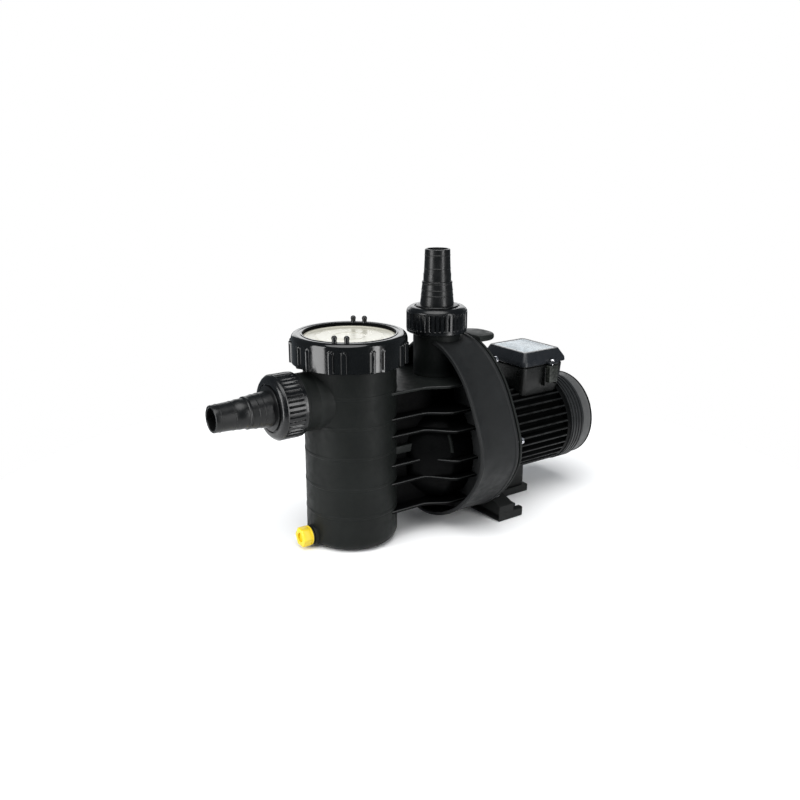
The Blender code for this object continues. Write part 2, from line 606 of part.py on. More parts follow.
def cowl_and_fan():
    at = (0, 0, AXIS_Z)
    start, end = COWL
    cowl = turned("fan_cowl", [
        (0.0, end), (0.0470, end), (0.0560, end - 0.0035), (0.0600, end - 0.0090),
        (0.0610, 0.3510), (COWL_R, 0.3490), (COWL_R, start), (0.0606, start), (0.0606, 0.3465),
        (0.0580, 0.3510), (0.0575, end - 0.0090), (0.0540, end - 0.0045), (0.0460, end - 0.0020),
        (0.0, end - 0.0020)], "X", at)
    for i in range(6):
        cut(cowl, box_on_axis(f"grille_{i}", (-0.010, -0.0440, -0.0026), (0.010, -0.0160, 0.0026),
                              "X", 60.0 * i, (end, 0.0, AXIS_Z)))
    finish(cowl, (0.05, 0.052, 0.055), 0.5, look="cowl_grey")
    fan = turned("cooling_fan", [(0.0110, 0.3600), (0.0110, 0.3480), (0.0220, 0.3440),
                                 (0.0220, 0.3420), (0.0061, 0.3420), (0.0061, 0.3600)],
                 "X", at, COARSE)
    for i in range(5):
        join(fan, box_on_axis(f"blade_{i}", (-0.0100, 0.0095, -0.0010), (0.0100, 0.0520, 0.0010),
                              "X", 72.0 * i, (0.3500, 0.0, AXIS_Z)))
    finish(fan, (0.06, 0.06, 0.06), 0.5, look="black_plastic")


# ---------------------------------------------------------------- terminal box
def tapered_block(name, low_box, high_box, low, high):
    """Block between two rectangles (x0, x1, half width) at two heights."""
    mesh = bpy.data.meshes.new(name)
    shape = bmesh.new()
    bmesh.ops.create_cube(shape, size=2.0)
    for vert in shape.verts:
        x0, x1, half = high_box if vert.co.z > 0 else low_box
        vert.co = (x1 if vert.co.x > 0 else x0, half if vert.co.y > 0 else -half,
                   high if vert.co.z > 0 else low)
    shape.to_mesh(mesh)
    shape.free()
    return place(name, mesh)


def screw_blocks(name, low, high):
    """Small blocks at the box screws, between two heights."""
    along, across = EAR_HALF
    return [box(f"{name}_{i}", (x - along, y - across, low), (x + along, y + across, high))
            for i, (x, y) in enumerate(BOX_SCREWS)]


def rectangle(x0, x1, half):
    return [(x0, -half), (x1, -half), (x1, half), (x0, half)]


def terminal_box():
    x0, x1 = BOX_X
    base = tapered_block("terminal_box_base", (x0 + 0.004, x1 - 0.007, BOX_HALF - 0.005),
                         (x0, x1, BOX_HALF), 0.1500, BOX_JOINT - 0.0015)
    hollow = box("box_inside", (x0 + 0.008, -BOX_ROOM_HALF, 0.1640), (x1 - 0.010, BOX_ROOM_HALF, 0.2000))
    saddle = cylinder("box_saddle", FIN_TIP + 2 * GAP, 0.200, 0.350, "X", (0, 0, AXIS_Z), FINE)
    wire_hole = cylinder("wire_hole", 0.0080, 0.1500, 0.1700, "Z", (0.262, 0, 0), 12)
    gland_hole = cylinder("gland_hole", 0.0063, 0.300, 0.340, "X", (0, GLAND_Y, GLAND_Z), 12)
    lugs = screw_blocks("lug", 0.1660, BOX_JOINT - 0.0015)
    pad = box("gland_pad", (x1 - 0.015, GLAND_Y - 0.0105, GLAND_Z - 0.0115),
              (x1 + 0.0005, GLAND_Y + 0.0105, GLAND_Z + 0.0110))
    join(base, pad, *lugs)
    cut(base, hollow, saddle, wire_hole, gland_hole)
    for i, (x, y) in enumerate(BOX_SCREWS):
        cut(base, cylinder(f"screw_hole_{i}", 0.0019, 0.1780, 0.2000, "Z", (x, y, 0), 8))
    finish(base, (0.03, 0.033, 0.04), 0.4, look="box_black")

    gasket = plate("box_gasket", [rectangle(x0 + 0.003, x1 - 0.003, BOX_HALF - 0.003),
                                  rectangle(x0 + 0.006, x1 - 0.006, BOX_HALF - 0.006)],
                   BOX_JOINT - 0.0012, BOX_JOINT + 0.0003)
    finish(gasket, (0.02, 0.02, 0.02), 0.8, look="rubber")

    lid = tapered_block("terminal_box_lid", (x0 - 0.0005, x1 + LID_OVERHANG, BOX_HALF + 0.0010),
                        LID_TOP, BOX_JOINT + 0.0006, BOX_TOP)
    ears = screw_blocks("ear", BOX_JOINT + 0.0006, BOX_JOINT + 0.0040)
    room = box("lid_inside", (x0 + 0.010, -BOX_ROOM_HALF, 0.1850),
               (x1 - 0.012, BOX_ROOM_HALF, BOX_TOP - 0.0030))
    start, end, half = LABEL
    edge = 0.0004
    recess = box("label_recess", (start - edge, -half - edge, BOX_TOP - 0.0010),
                 (end + edge, half + edge, BOX_TOP + 0.01))
    cut(lid, room, recess)
    join(lid, *ears)
    for i, (x, y) in enumerate(BOX_SCREWS):
        cut(lid, cylinder(f"ear_hole_{i}", 0.0021, 0.1850, 0.2100, "Z", (x, y, 0), 8))
    finish(lid, (0.03, 0.033, 0.04), 0.35, look="box_black")

    label = box("label_plate", (start, -half, BOX_TOP - 0.0007), (end, half, BOX_TOP))
    finish(label, (0.55, 0.60, 0.66), 0.3, look="label_blank")

    for i, (x, y) in enumerate(BOX_SCREWS):
        top = BOX_JOINT + 0.0040 + GAP
        screw = turned(f"box_screw_{i + 1}", [(0.0, top + 0.0030), (0.0028, top + 0.0022),
                                              (0.0038, top), (0.0015, top), (0.0015, 0.1800),
                                              (0.0, 0.1800)], "Z", (x, y, 0), 12)
        finish(screw, (0.75, 0.75, 0.77), 0.2, 1.0, "steel")


def box_contents():
    finish(box("terminal_block", (0.2900, -0.0220, 0.1643), (0.3020, 0.0180, 0.1760)),
           (0.75, 0.74, 0.70), 0.5, look="cream_plastic")
    capacitor = cylinder("run_capacitor", 0.0105, -0.0300, 0.0300, "Z", (0.2735, 0, 0), COARSE)
    capacitor.location = (0.2735, 0.0, 0.1755)
    capacitor.rotation_euler = (math.pi / 2, 0.0, 0.0)
    finish(capacitor, (0.75, 0.75, 0.77), 0.35, look="capacitor_grey")


def cable_gland():
    """Gland body through the end wall of the box, and its dome nut; its bore is free."""
    at = (0, GLAND_Y, GLAND_Z)
    wall = BOX_X[1] + 0.0008
    body = turned("cable_gland", [(0.0062, wall + 0.0088), (0.0062, wall + 0.0030),
                                  (0.0090, wall + 0.0030), (0.0090, wall),
                                  (0.0060, wall), (0.0060, wall - 0.0130),
                                  (0.0035, wall - 0.0130), (0.0035, wall + 0.0088)], "X", at, 12)
    finish(body, roughness=0.4, look="black_plastic")
    nut = turned("gland_nut", [(0.0055, wall + 0.0115), (0.0085, wall + 0.0088),
                               (0.0085, wall + 0.0033), (0.0066, wall + 0.0033),
                               (0.0066, wall + 0.0092), (0.0038, wall + 0.0092),
                               (0.0038, wall + 0.0115)], "X", at, 12)
    finish(nut, roughness=0.4, look="black_plastic")


# ---------------------------------------------------------------- foot
def foot():
    """Cross beam under the motor's front end with two slotted feet, and a pedestal below the barrel."""
    x0, x1 = FOOT_X
    half, inner, step = FOOT_HALF, 0.0520, x0 + 0.0255
    slot_y, slot_half, slot_x = 0.0665, 0.0035, x1 - 0.0110
    side = [(x0, half), (x1, half), (x1, slot_y + slot_half), (slot_x, slot_y + slot_half),
            (slot_x, slot_y - slot_half), (x1, slot_y - slot_half), (x1, inner), (step, inner),
            (step, PEDESTAL_HALF), (PEDESTAL_END, PEDESTAL_HALF)]
    base = plate("foot", [side + [(x, -y) for x, y in reversed(side)]], 0.0, 0.0110)
    rim = 0.0006
    beam = plate("beam", [[(-half + rim, 0.008), (half - rim, 0.008), (half - rim, 0.0210),
                           (inner, 0.0310), (-inner, 0.0310), (-half + rim, 0.0210)]],
                 x0 + rim, step - rim, "YZ")
    column = box("column", (step - 0.004, -PEDESTAL_HALF + 0.004, 0.009),
                 (PEDESTAL_END - 0.005, PEDESTAL_HALF - 0.004, 0.060))
    join(base, beam, column)
    clearance = turned("motor_clearance", [
        (0.0, 0.350), (FIN_TIP + 2 * GAP, 0.350), (FIN_TIP + 2 * GAP, 0.2060),
        (SHIELD_R + 2 * GAP, 0.1900), (SHIELD_R + 2 * GAP, 0.150), (0.0, 0.150)], "X", (0, 0, AXIS_Z), FINE)
    cut(base, clearance)
    return finish(base, roughness=0.6, look="foot_black")


# ---------------------------------------------------------------- joint axes
def axis_empty(name, at, pieces):
    """Empty on a joint's axis; the pieces that move on it are its children."""
    empty = bpy.data.objects.new(name, None)
    empty.empty_display_size = 0.02
    empty.location = at
    AXES.objects.link(empty)
    for piece_name in pieces:
        piece = bpy.data.objects[piece_name]
        piece.location = piece.location - Vector(at)
        piece.parent = empty


def build():
    strainer_pot()
    suction_neck()
    rib_web()
    pump_casing()
    pressure_riser()
    seal_plate()
    casing_gasket()
    casing_bolts()
    lid_ring()
    clear_lid()
    lid_o_ring()
    strainer_basket()
    pipe_union("inlet", "-X", (INLET_FACE, 0.0, INLET_Z))
    pipe_union("outlet", "Z", (OUTLET_X, 0.0, OUTLET_FACE))
    drain()
    impeller()
    diffuser()
    shaft_seal()
    shaft()
    motor_inside()
    motor_shields()
    motor_barrel()
    cowl_and_fan()
    terminal_box()
    box_contents()
    cable_gland()
    foot()
    axis_empty("shaft_axis", (0.2, 0.0, AXIS_Z),
               ("shaft", "rotor_core", "impeller", "cooling_fan", "seal_face"))
    axis_empty("lid_axis", (0.0, 0.0, RING_LOW), ("lid_ring", "clear_lid", "lid_o_ring"))
    axis_empty("basket_axis", (0.0, 0.0, LEDGE_Z), ("strainer_basket",))
    axis_empty("inlet_axis", (INLET_FACE, 0.0, INLET_Z),
               ("inlet_union_nut", "inlet_o_ring", "inlet_hose_tail"))
    axis_empty("outlet_axis", (OUTLET_X, 0.0, OUTLET_FACE),
               ("outlet_union_nut", "outlet_o_ring", "outlet_hose_tail"))
    axis_empty("drain_axis", (DRAIN_HEAD[1], 0.0, DRAIN_Z), ("drain_plug", "drain_seal"))
    axis_empty("box_lid_axis", (0.285, 0.0, BOX_JOINT),
               ("terminal_box_lid", "label_plate", "box_screw_1", "box_screw_2"))
    axis_empty("gland_axis", (BOX_X[1], GLAND_Y, GLAND_Z), ("gland_nut",))


build()
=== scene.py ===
"""Looks of the pool pump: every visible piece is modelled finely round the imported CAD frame."""
import json
import math

import bmesh
import bpy
from mathutils import Matrix, Vector


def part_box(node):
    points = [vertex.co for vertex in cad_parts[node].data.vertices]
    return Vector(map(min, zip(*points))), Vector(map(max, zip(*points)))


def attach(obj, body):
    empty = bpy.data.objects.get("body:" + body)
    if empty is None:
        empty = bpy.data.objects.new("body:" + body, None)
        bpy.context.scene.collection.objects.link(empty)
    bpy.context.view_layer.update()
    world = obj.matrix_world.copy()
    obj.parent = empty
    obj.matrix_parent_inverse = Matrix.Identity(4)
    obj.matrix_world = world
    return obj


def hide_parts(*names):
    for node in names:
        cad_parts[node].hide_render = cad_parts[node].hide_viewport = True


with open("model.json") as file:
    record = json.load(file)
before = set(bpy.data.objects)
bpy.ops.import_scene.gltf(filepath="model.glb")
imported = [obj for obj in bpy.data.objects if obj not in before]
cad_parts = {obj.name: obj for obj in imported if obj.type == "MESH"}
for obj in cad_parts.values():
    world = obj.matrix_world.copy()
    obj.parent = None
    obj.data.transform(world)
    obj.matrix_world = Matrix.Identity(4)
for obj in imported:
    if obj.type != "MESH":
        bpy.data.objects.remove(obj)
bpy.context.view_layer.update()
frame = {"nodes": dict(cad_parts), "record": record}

TAU = math.tau

# ---------------------------------------------------------------- places read from the CAD frame
LOW = {name: Vector(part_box(name)[0]) for name in frame["nodes"]}
HIGH = {name: Vector(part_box(name)[1]) for name in frame["nodes"]}
MID = {name: (LOW[name] + HIGH[name]) / 2 for name in LOW}

AXIS_Z = MID["motor_frame"].z
AXIS = (0.0, 0.0, AXIS_Z)
INLET_Z = MID["inlet_union_nut"].z
OUTLET_X = MID["outlet_union_nut"].x
INLET_FACE = HIGH["inlet_union_nut"].x
OUTLET_FACE = LOW["outlet_union_nut"].z
RING_LOW, PEG_TOP = LOW["lid_ring"].z, HIGH["lid_ring"].z

POT_R, POT_TOP = 0.0574, 0.2466
LEDGE_Z, MOUTH_R, POT_BORE, POT_FLOOR = 0.232, 0.0524, 0.0505, 0.007
RING_R, RING_TOP, GRIP_DEPTH = 0.0701, 0.2657, 0.0027
LIP_R = 0.0559
SPIGOT_R, NECK_R, RISER_R, PIPE_BORE = 0.0325, 0.036, 0.031, 0.019
DRUM_FRONT, DRUM_REAR = LOW["pump_casing"].x, HIGH["pump_casing"].x
DRUM_WALL, SKIRT_WALL = 0.0125, 0.005
DRUM_FACE = (0.137, 0.143)
HUB_R, HUB_BORE, HUB_FLOOR, EYE_R = 0.074, 0.0665, 0.117, 0.022
RISER_BORE_LOW = 0.212
PLATE_FRONT, PLATE_THICK_REAR = LOW["seal_plate"].x, 0.176
BOLT_R = 0.0043
FIN_ROOT, FIN_TIP, FIN_COUNT = 0.0535, 0.062, 36
BARREL = (LOW["motor_frame"].x, HIGH["motor_frame"].x)
BOX_JOINT = 0.192
SCREW_AT = [(MID[f"box_screw_{i}"].x, MID[f"box_screw_{i}"].y) for i in (1, 2)]
SCREW_SIDES = [1 if y > 0 else -1 for _, y in SCREW_AT]
SMOOTH_ANGLE = 32.0

# side ribs between pot and drum: (height, reach to each side) of each
RIBS = ((0.194, 0.065), (0.161, 0.07), (0.139, 0.079), (0.101, 0.083), (0.077, 0.081), (0.04, 0.066))
RIB_THICK, RIB_START, RIB_NEAR, RIB_SWING = 0.0036, 0.026, 0.05, (0.072, 0.11)
RIB_REAR = DRUM_FACE[0] + 0.001

# grip ribs of the lid's ring nut, in pairs, and the two pairs of pegs on its top (degrees)
GRIP_PAIRS, GRIP_PAIR_START, GRIP_SPREAD = 9, -173.3, 6.25
GRIP_CENTRES = [GRIP_PAIR_START + 40.0 * pair + side * GRIP_SPREAD for pair in range(GRIP_PAIRS)
    for side in (-1, 1)]
PEG_PAIRS, PEG_SPREAD = (-131.5, 46.0), 7.0


# ---------------------------------------------------------------- mesh helpers
def polar(angle, radius, centre=(0.0, 0.0)):
    turn = math.radians(angle)
    return (centre[0] + radius * math.cos(turn), centre[1] + radius * math.sin(turn))


def smoothstep(value):
    value = min(max(value, 0.0), 1.0)
    return value * value * (3.0 - 2.0 * value)


def add(name, mesh, location=(0.0, 0.0, 0.0), rotation=(0.0, 0.0, 0.0)):
    piece = bpy.data.objects.new(name, mesh)
    piece.location = location
    piece.rotation_euler = rotation
    bpy.context.scene.collection.objects.link(piece)
    return piece


def shade(mesh, angle=SMOOTH_ANGLE):
    mesh.shade_smooth()
    mesh.set_sharp_from_angle(angle=math.radians(angle))


def from_bmesh(name, shape, angle=SMOOTH_ANGLE):
    bmesh.ops.recalc_face_normals(shape, faces=shape.faces)
    mesh = bpy.data.meshes.new(name)
    shape.to_mesh(mesh)
    shape.free()
    shade(mesh, angle)
    return add(name, mesh)


def apply_modifiers(piece, angle=SMOOTH_ANGLE):
    """Make what the modifiers give the piece's own mesh."""
    graph = bpy.context.evaluated_depsgraph_get()
    mesh = bpy.data.meshes.new_from_object(piece.evaluated_get(graph))
    piece.modifiers.clear()
    old = piece.data
    piece.data = mesh
    bpy.data.meshes.remove(old)
    shade(mesh, angle)
    return piece


def boolean(piece, operation, *others, keep=False, crossing=False):
    """Cut with or keep inside other pieces, which then go unless they are kept."""
    for other in others:
        change = piece.modifiers.new(other.name, "BOOLEAN")
        change.operation = operation
        change.solver = "EXACT"
        change.use_self = crossing
        change.object = other
    apply_modifiers(piece)
    for other in () if keep else others:
        mesh = other.data
        bpy.data.objects.remove(other, do_unlink=True)
        bpy.data.meshes.remove(mesh)
    return piece


def bevel(piece, width, segments=3, angle=30.0):
    change = piece.modifiers.new("Round", "BEVEL")
    change.width = width
    change.segments = segments
    change.limit_method = "ANGLE"
    change.angle_limit = math.radians(angle)
    change.harden_normals = False
    return apply_modifiers(piece)


def fillet(profile, radius, closed=True, segments=3):
    """Round the corners of a (radius, height) profile; points on the axis stay."""
    count = len(profile)
    out = []
    for i, point in enumerate(profile):
        here = Vector(point)
        if not closed and i in (0, count - 1):
            out.append(tuple(here))
            continue
        back = Vector(profile[i - 1]) - here
        ahead = Vector(profile[(i + 1) % count]) - here
        if back.length < 1e-7 or ahead.length < 1e-7 or here.x == 0.0:
            out.append(tuple(here))
            continue
        turn = math.pi - back.angle(ahead)
        if turn < math.radians(18):
            out.append(tuple(here))
            continue
        reach = min(radius, 0.45 * back.length, 0.45 * ahead.length)
        start, end = here + back.normalized() * reach, here + ahead.normalized() * reach
        for k in range(segments + 1):
            t = k / segments
            out.append(tuple((1 - t) ** 2 * start + 2 * t * (1 - t) * here + t * t * end))
    return out


def lathe(name, profile, axis="Z", at=(0.0, 0.0, 0.0), steps=96, shape_radius=None, angle=SMOOTH_ANGLE):
    """Turn (radius, height) points about an axis through a point.

    shape_radius(turn in degrees, radius, height) may change the radius round the turn.
    """
    on_axis = profile[0][0] == 0.0 and profile[-1][0] == 0.0
    shape = bmesh.new()
    rows = []
    for r, h in profile:
        row = []
        for k in range(1 if r == 0.0 else steps):
            turn = 360.0 * k / steps
            radius = shape_radius(turn, r, h) if shape_radius and r > 0.0 else r
            a, b = radius * math.cos(math.radians(turn)), radius * math.sin(math.radians(turn))
            place = {"Z": (a, b, h), "X": (h, a, b), "-X": (-h, a, b)}[axis]
            row.append(shape.verts.new(Vector(place) + Vector(at)))
        rows.append(row)
    pairs = list(zip(rows, rows[1:])) if on_axis else list(zip(rows, rows[1:] + rows[:1]))
    for upper, lower in pairs:
        if len(upper) == 1 and len(lower) == 1:
            continue
        for k in range(steps):
            n = (k + 1) % steps
            ring = [upper[k % len(upper)], upper[n % len(upper)], lower[n % len(lower)],
                lower[k % len(lower)]]
            corners = []
            for vert in ring:
                if vert not in corners:
                    corners.append(vert)
            shape.faces.new(corners)
    return from_bmesh(name, shape, angle)


def rod(name, radius, low, high, axis="Z", at=(0.0, 0.0, 0.0), steps=64, edge=0.0):
    profile = [(0.0, high), (radius, high), (radius, low), (0.0, low)]
    if edge:
        profile = fillet(profile, edge, closed=False)
    return lathe(name, profile, axis, at, steps)


def threads(radius, depth, low, high, pitch):
    """Profile points of a thread's crests and roots, from high to low."""
    turns = max(1, round((high - low) / pitch))
    step = (high - low) / turns
    points = []
    for i in range(turns):
        top = high - i * step
        points += [(radius - depth, top), (radius, top - 0.35 * step), (radius,
            top - 0.6 * step), (radius - depth, top - 0.95 * step)]
    return points


def block(name, corner, opposite, edge=0.001, segments=3):
    """Block between two opposite corners, with rounded edges."""
    low, high = Vector(map(min, corner, opposite)), Vector(map(max, corner, opposite))
    shape = bmesh.new()
    bmesh.ops.create_cube(shape, size=1.0)
    bmesh.ops.scale(shape, vec=high - low, verts=shape.verts)
    bmesh.ops.translate(shape, vec=(low + high) / 2, verts=shape.verts)
    piece = from_bmesh(name, shape)
    return bevel(piece, edge, segments) if edge else piece


def hexagon(name, radius, depth, centre, edge, segments=2):
    """Hexagonal head lying along X about a point, with rounded edges."""
    shape = bmesh.new()
    bmesh.ops.create_cone(shape, cap_ends=True, segments=6, radius1=radius, radius2=radius, depth=depth)
    head = from_bmesh(name, shape)
    head.data.transform(Matrix.Translation(centre) @ Matrix.Rotation(math.pi / 2, 4, "Y"))
    return bevel(head, edge, segments)


def slot_cutter(name, slots, axis, centre=(0.0, 0.0, 0.0)):
    """Boxes, each (size, place, turn about the axis), in one mesh moved to a centre."""
    shape = bmesh.new()
    for size, place, turn in slots:
        made = bmesh.ops.create_cube(shape, size=1.0)["verts"]
        bmesh.ops.scale(shape, vec=size, verts=made)
        bmesh.ops.translate(shape, vec=place, verts=made)
        bmesh.ops.rotate(shape, cent=(0, 0, 0), verts=made, matrix=Matrix.Rotation(turn, 3, axis))
    bmesh.ops.translate(shape, vec=centre, verts=shape.verts)
    return from_bmesh(name, shape)


def slab(name, outlines, low, high, plane="XY", edge=0.0008):
    """Flat outline with rounded edges, drawn in a plane and made thick along its normal."""
    curve = bpy.data.curves.new(name, "CURVE")
    curve.dimensions = "2D"
    curve.fill_mode = "BOTH"
    curve.extrude = (high - low) / 2 - edge
    curve.bevel_depth = edge
    curve.bevel_resolution = 2
    curve.offset = -edge
    for outline in outlines:
        spline = curve.splines.new("POLY")
        spline.points.add(len(outline) - 1)
        spline.use_cyclic_u = True
        for point, (a, b) in zip(spline.points, outline):
            point.co = (a, b, 0.0, 1.0)
    source = bpy.data.objects.new(name, curve)
    bpy.context.scene.collection.objects.link(source)
    middle = (low + high) / 2
    turn = {"XY": (0, 0, 0), "YZ": (math.pi / 2, 0, math.pi / 2), "XZ": (math.pi / 2, 0, 0)}[plane]
    source.location = {"XY": (0, 0, middle), "YZ": (middle, 0, 0), "XZ": (0, -middle, 0)}[plane]
    source.rotation_euler = turn
    bpy.context.view_layer.update()
    graph = bpy.context.evaluated_depsgraph_get()
    mesh = bpy.data.meshes.new_from_object(source.evaluated_get(graph))
    mesh.transform(source.matrix_world)
    bpy.data.objects.remove(source, do_unlink=True)
    bpy.data.curves.remove(curve)
    shape = bmesh.new()
    shape.from_mesh(mesh)
    bpy.data.meshes.remove(mesh)
    bmesh.ops.remove_doubles(shape, verts=shape.verts, dist=0.000002)
    return from_bmesh(name, shape)


# ---------------------------------------------------------------- materials
def moulded(name, colour, roughness, grain=1400.0, grain_depth=0.00004, cloud=22.0, spread=0.35,
    rough_spread=0.1, coat=0.0, metallic=0.0, stretch=(1.0, 1.0, 1.0), transmission=0.0, wear=0.25,
    specular=0.5):
    """Moulded, cast or turned surface: clouded colour, uneven gloss, fine grain and lighter edges."""
    made = bpy.data.materials.new(name)
    made.use_nodes = True
    nodes, links = made.node_tree.nodes, made.node_tree.links
    shader = nodes["Principled BSDF"]
    where = nodes.new("ShaderNodeTexCoord")
    mapping = nodes.new("ShaderNodeMapping")
    mapping.inputs["Scale"].default_value = stretch
    links.new(where.outputs["Object"], mapping.inputs["Vector"])

    def noise(scale, detail, rough=0.5):
        node = nodes.new("ShaderNodeTexNoise")
        node.inputs["Scale"].default_value = scale
        node.inputs["Detail"].default_value = detail
        node.inputs["Roughness"].default_value = rough
        links.new(mapping.outputs["Vector"], node.inputs["Vector"])
        return node.outputs["Fac"]

    def ramp(source, low, high, low_colour, high_colour):
        node = nodes.new("ShaderNodeValToRGB")
        node.color_ramp.elements[0].position = low
        node.color_ramp.elements[1].position = high
        node.color_ramp.elements[0].color = (*low_colour, 1.0)
        node.color_ramp.elements[1].color = (*high_colour, 1.0)
        links.new(source, node.inputs["Fac"])
        return node.outputs["Color"]

    dark = tuple(c * (1.0 - spread) for c in colour)
    light = tuple(min(c * (1.0 + spread), 1.0) for c in colour)
    clouds = ramp(noise(cloud, 4.0), 0.35, 0.68, dark, light)
    geometry = nodes.new("ShaderNodeNewGeometry")
    edge = ramp(geometry.outputs["Pointiness"], 0.52, 0.62, (0, 0, 0), (wear, wear, wear))
    mix = nodes.new("ShaderNodeMix")
    mix.data_type = "RGBA"
    links.new(edge, mix.inputs["Factor"])
    links.new(clouds, mix.inputs["A"])
    mix.inputs["B"].default_value = (*[min(c * 2.2 + 0.02, 1.0) for c in colour], 1.0)
    links.new(mix.outputs["Result"], shader.inputs["Base Color"])

    gloss = nodes.new("ShaderNodeMapRange")
    gloss.inputs["From Min"].default_value = 0.3
    gloss.inputs["From Max"].default_value = 0.7
    gloss.inputs["To Min"].default_value = max(roughness - rough_spread, 0.02)
    gloss.inputs["To Max"].default_value = min(roughness + rough_spread, 1.0)
    links.new(noise(cloud * 5.0, 3.0), gloss.inputs["Value"])
    links.new(gloss.outputs["Result"], shader.inputs["Roughness"])

    bump = nodes.new("ShaderNodeBump")
    bump.inputs["Strength"].default_value = 0.6
    bump.inputs["Distance"].default_value = grain_depth
    links.new(noise(grain, 2.0, 0.6), bump.inputs["Height"])
    links.new(bump.outputs["Normal"], shader.inputs["Normal"])

    shader.inputs["Metallic"].default_value = metallic
    shader.inputs["Coat Weight"].default_value = coat
    shader.inputs["Coat Roughness"].default_value = 0.08
    shader.inputs["Transmission Weight"].default_value = transmission
    shader.inputs["Specular IOR Level"].default_value = specular
    return made


FINISHES = {
    "casing_black": dict(colour=(0.0066, 0.0078, 0.0072), roughness=0.5, grain=900.0,
        grain_depth=0.00008, spread=0.16, specular=0.13),
    "drum_black": dict(colour=(0.012, 0.0128, 0.0132), roughness=0.52, grain=900.0,
        grain_depth=0.00008, spread=0.14, specular=0.14),
    # painted highlight: lighter colour for the ribs' upper rounded edges, where the light catches them
    "rib_edge_painted_highlight": dict(colour=(0.013, 0.014, 0.014), roughness=0.4, grain=900.0, spread=0.25, wear=0.0,
        specular=0.35),
    # painted highlight: lighter colour for the fin tips, set against the darker motor black
    "fin_tip_painted_highlight": dict(colour=(0.0085, 0.009, 0.009), roughness=0.42, grain=500.0, cloud=90.0,
        spread=0.6, wear=0.0, specular=0.18),
    # painted shade: a near-black copy of the casing black that stands in for the shade between the side
    # ribs, used on the web, the ribs, the impeller housing and the lid ring's inner wall
    "painted_shade_black": dict(colour=(0.0009, 0.001, 0.0011), roughness=0.55, grain=900.0,
        grain_depth=0.00008, spread=0.18, specular=0.05, wear=0.0),
    "gloss_black": dict(colour=(0.0026, 0.003, 0.0032), roughness=0.13, grain=500.0,
        grain_depth=0.00002, spread=0.15, rough_spread=0.05, specular=0.45, wear=0.0),
    "nut_black": dict(colour=(0.0022, 0.0027, 0.0032), roughness=0.24, grain=700.0,
        grain_depth=0.00003, spread=0.2, rough_spread=0.06, specular=0.36, wear=0.1),
    "satin_black": dict(colour=(0.004, 0.0044, 0.0046), roughness=0.32, grain=800.0,
        grain_depth=0.00004, spread=0.2, rough_spread=0.06, specular=0.32, wear=0.1),
    "rubber": dict(colour=(0.012, 0.012, 0.012), roughness=0.7, grain=1500.0, spread=0.2),
    "cream_plastic": dict(colour=(0.7, 0.66, 0.54), roughness=0.42, spread=0.06, wear=0.05),
    "yellow_plastic": dict(colour=(0.78, 0.57, 0.012), roughness=0.38, grain=700.0, spread=0.1,
        wear=0.1),
    "impeller_plastic": dict(colour=(0.05, 0.05, 0.055), roughness=0.4, spread=0.15),
    "ceramic": dict(colour=(0.75, 0.73, 0.68), roughness=0.2, spread=0.05),
    "carbon": dict(colour=(0.04, 0.04, 0.04), roughness=0.45, spread=0.2),
    "steel": dict(colour=(0.62, 0.62, 0.64), roughness=0.24, grain=300.0, grain_depth=0.00003,
        spread=0.08, metallic=1.0, stretch=(1.0, 6.0, 6.0), wear=0.0),
    "zinc": dict(colour=(0.52, 0.52, 0.55), roughness=0.28, grain=900.0, grain_depth=0.00003,
        spread=0.1, metallic=1.0, wear=0.0),
    "lamination": dict(colour=(0.2, 0.2, 0.22), roughness=0.45, grain=60.0, spread=0.2, metallic=0.8,
        stretch=(30.0, 1.0, 1.0)),
    "copper_winding": dict(colour=(0.42, 0.17, 0.05), roughness=0.35, grain=260.0,
        grain_depth=0.0004, spread=0.3, metallic=0.6),
    "motor_black": dict(colour=(0.0012, 0.0014, 0.0014), roughness=0.45, grain=900.0,
        grain_depth=0.00006, spread=0.2, rough_spread=0.08, specular=0.08, wear=0.0),
    "cowl_grey": dict(colour=(0.012, 0.013, 0.0135), roughness=0.42, grain=900.0,
        grain_depth=0.00006, spread=0.14, specular=0.35, wear=0.15),
    "cowl_band_grey": dict(colour=(0.066, 0.067, 0.067), roughness=0.55, grain=600.0,
        grain_depth=0.00008, spread=0.14),
    "box_black": dict(colour=(0.011, 0.0125, 0.015), roughness=0.34, grain=900.0,
        grain_depth=0.00005, spread=0.15, specular=0.34, wear=0.1),
    "box_base_black": dict(colour=(0.0042, 0.0046, 0.0044), roughness=0.36, grain=900.0,
        grain_depth=0.00005, spread=0.18, specular=0.26, wear=0.05),
    "lug_worn": dict(colour=(0.02, 0.022, 0.019), roughness=0.42, grain=500.0, cloud=260.0,
        grain_depth=0.0002, spread=0.85, specular=0.3, wear=0.1),
    "label_film": dict(colour=(0.29, 0.34, 0.37), roughness=0.26, grain=300.0, cloud=150.0,
        grain_depth=0.00001, spread=0.3, wear=0.0),
    "label_border": dict(colour=(0.5, 0.52, 0.53), roughness=0.26, grain=300.0, spread=0.06, wear=0.0),
    "capacitor_grey": dict(colour=(0.7, 0.7, 0.72), roughness=0.35, spread=0.08),
    "foot_black": dict(colour=(0.009, 0.0095, 0.0092), roughness=0.52, grain=800.0,
        grain_depth=0.00008, spread=0.2, specular=0.14, wear=0.1),
    "lid_clear": dict(colour=(0.6, 0.58, 0.49), roughness=0.24, grain=200.0, cloud=30.0,
        grain_depth=0.00002, spread=0.05, rough_spread=0.04, transmission=0.15, wear=0.0),
}
FINISH = {name: moulded(name, **look) for name, look in FINISHES.items()}
BODY_OF = {node: body for body, nodes in frame["record"]["behaviour"]["bodies"].items()
    for node in nodes}


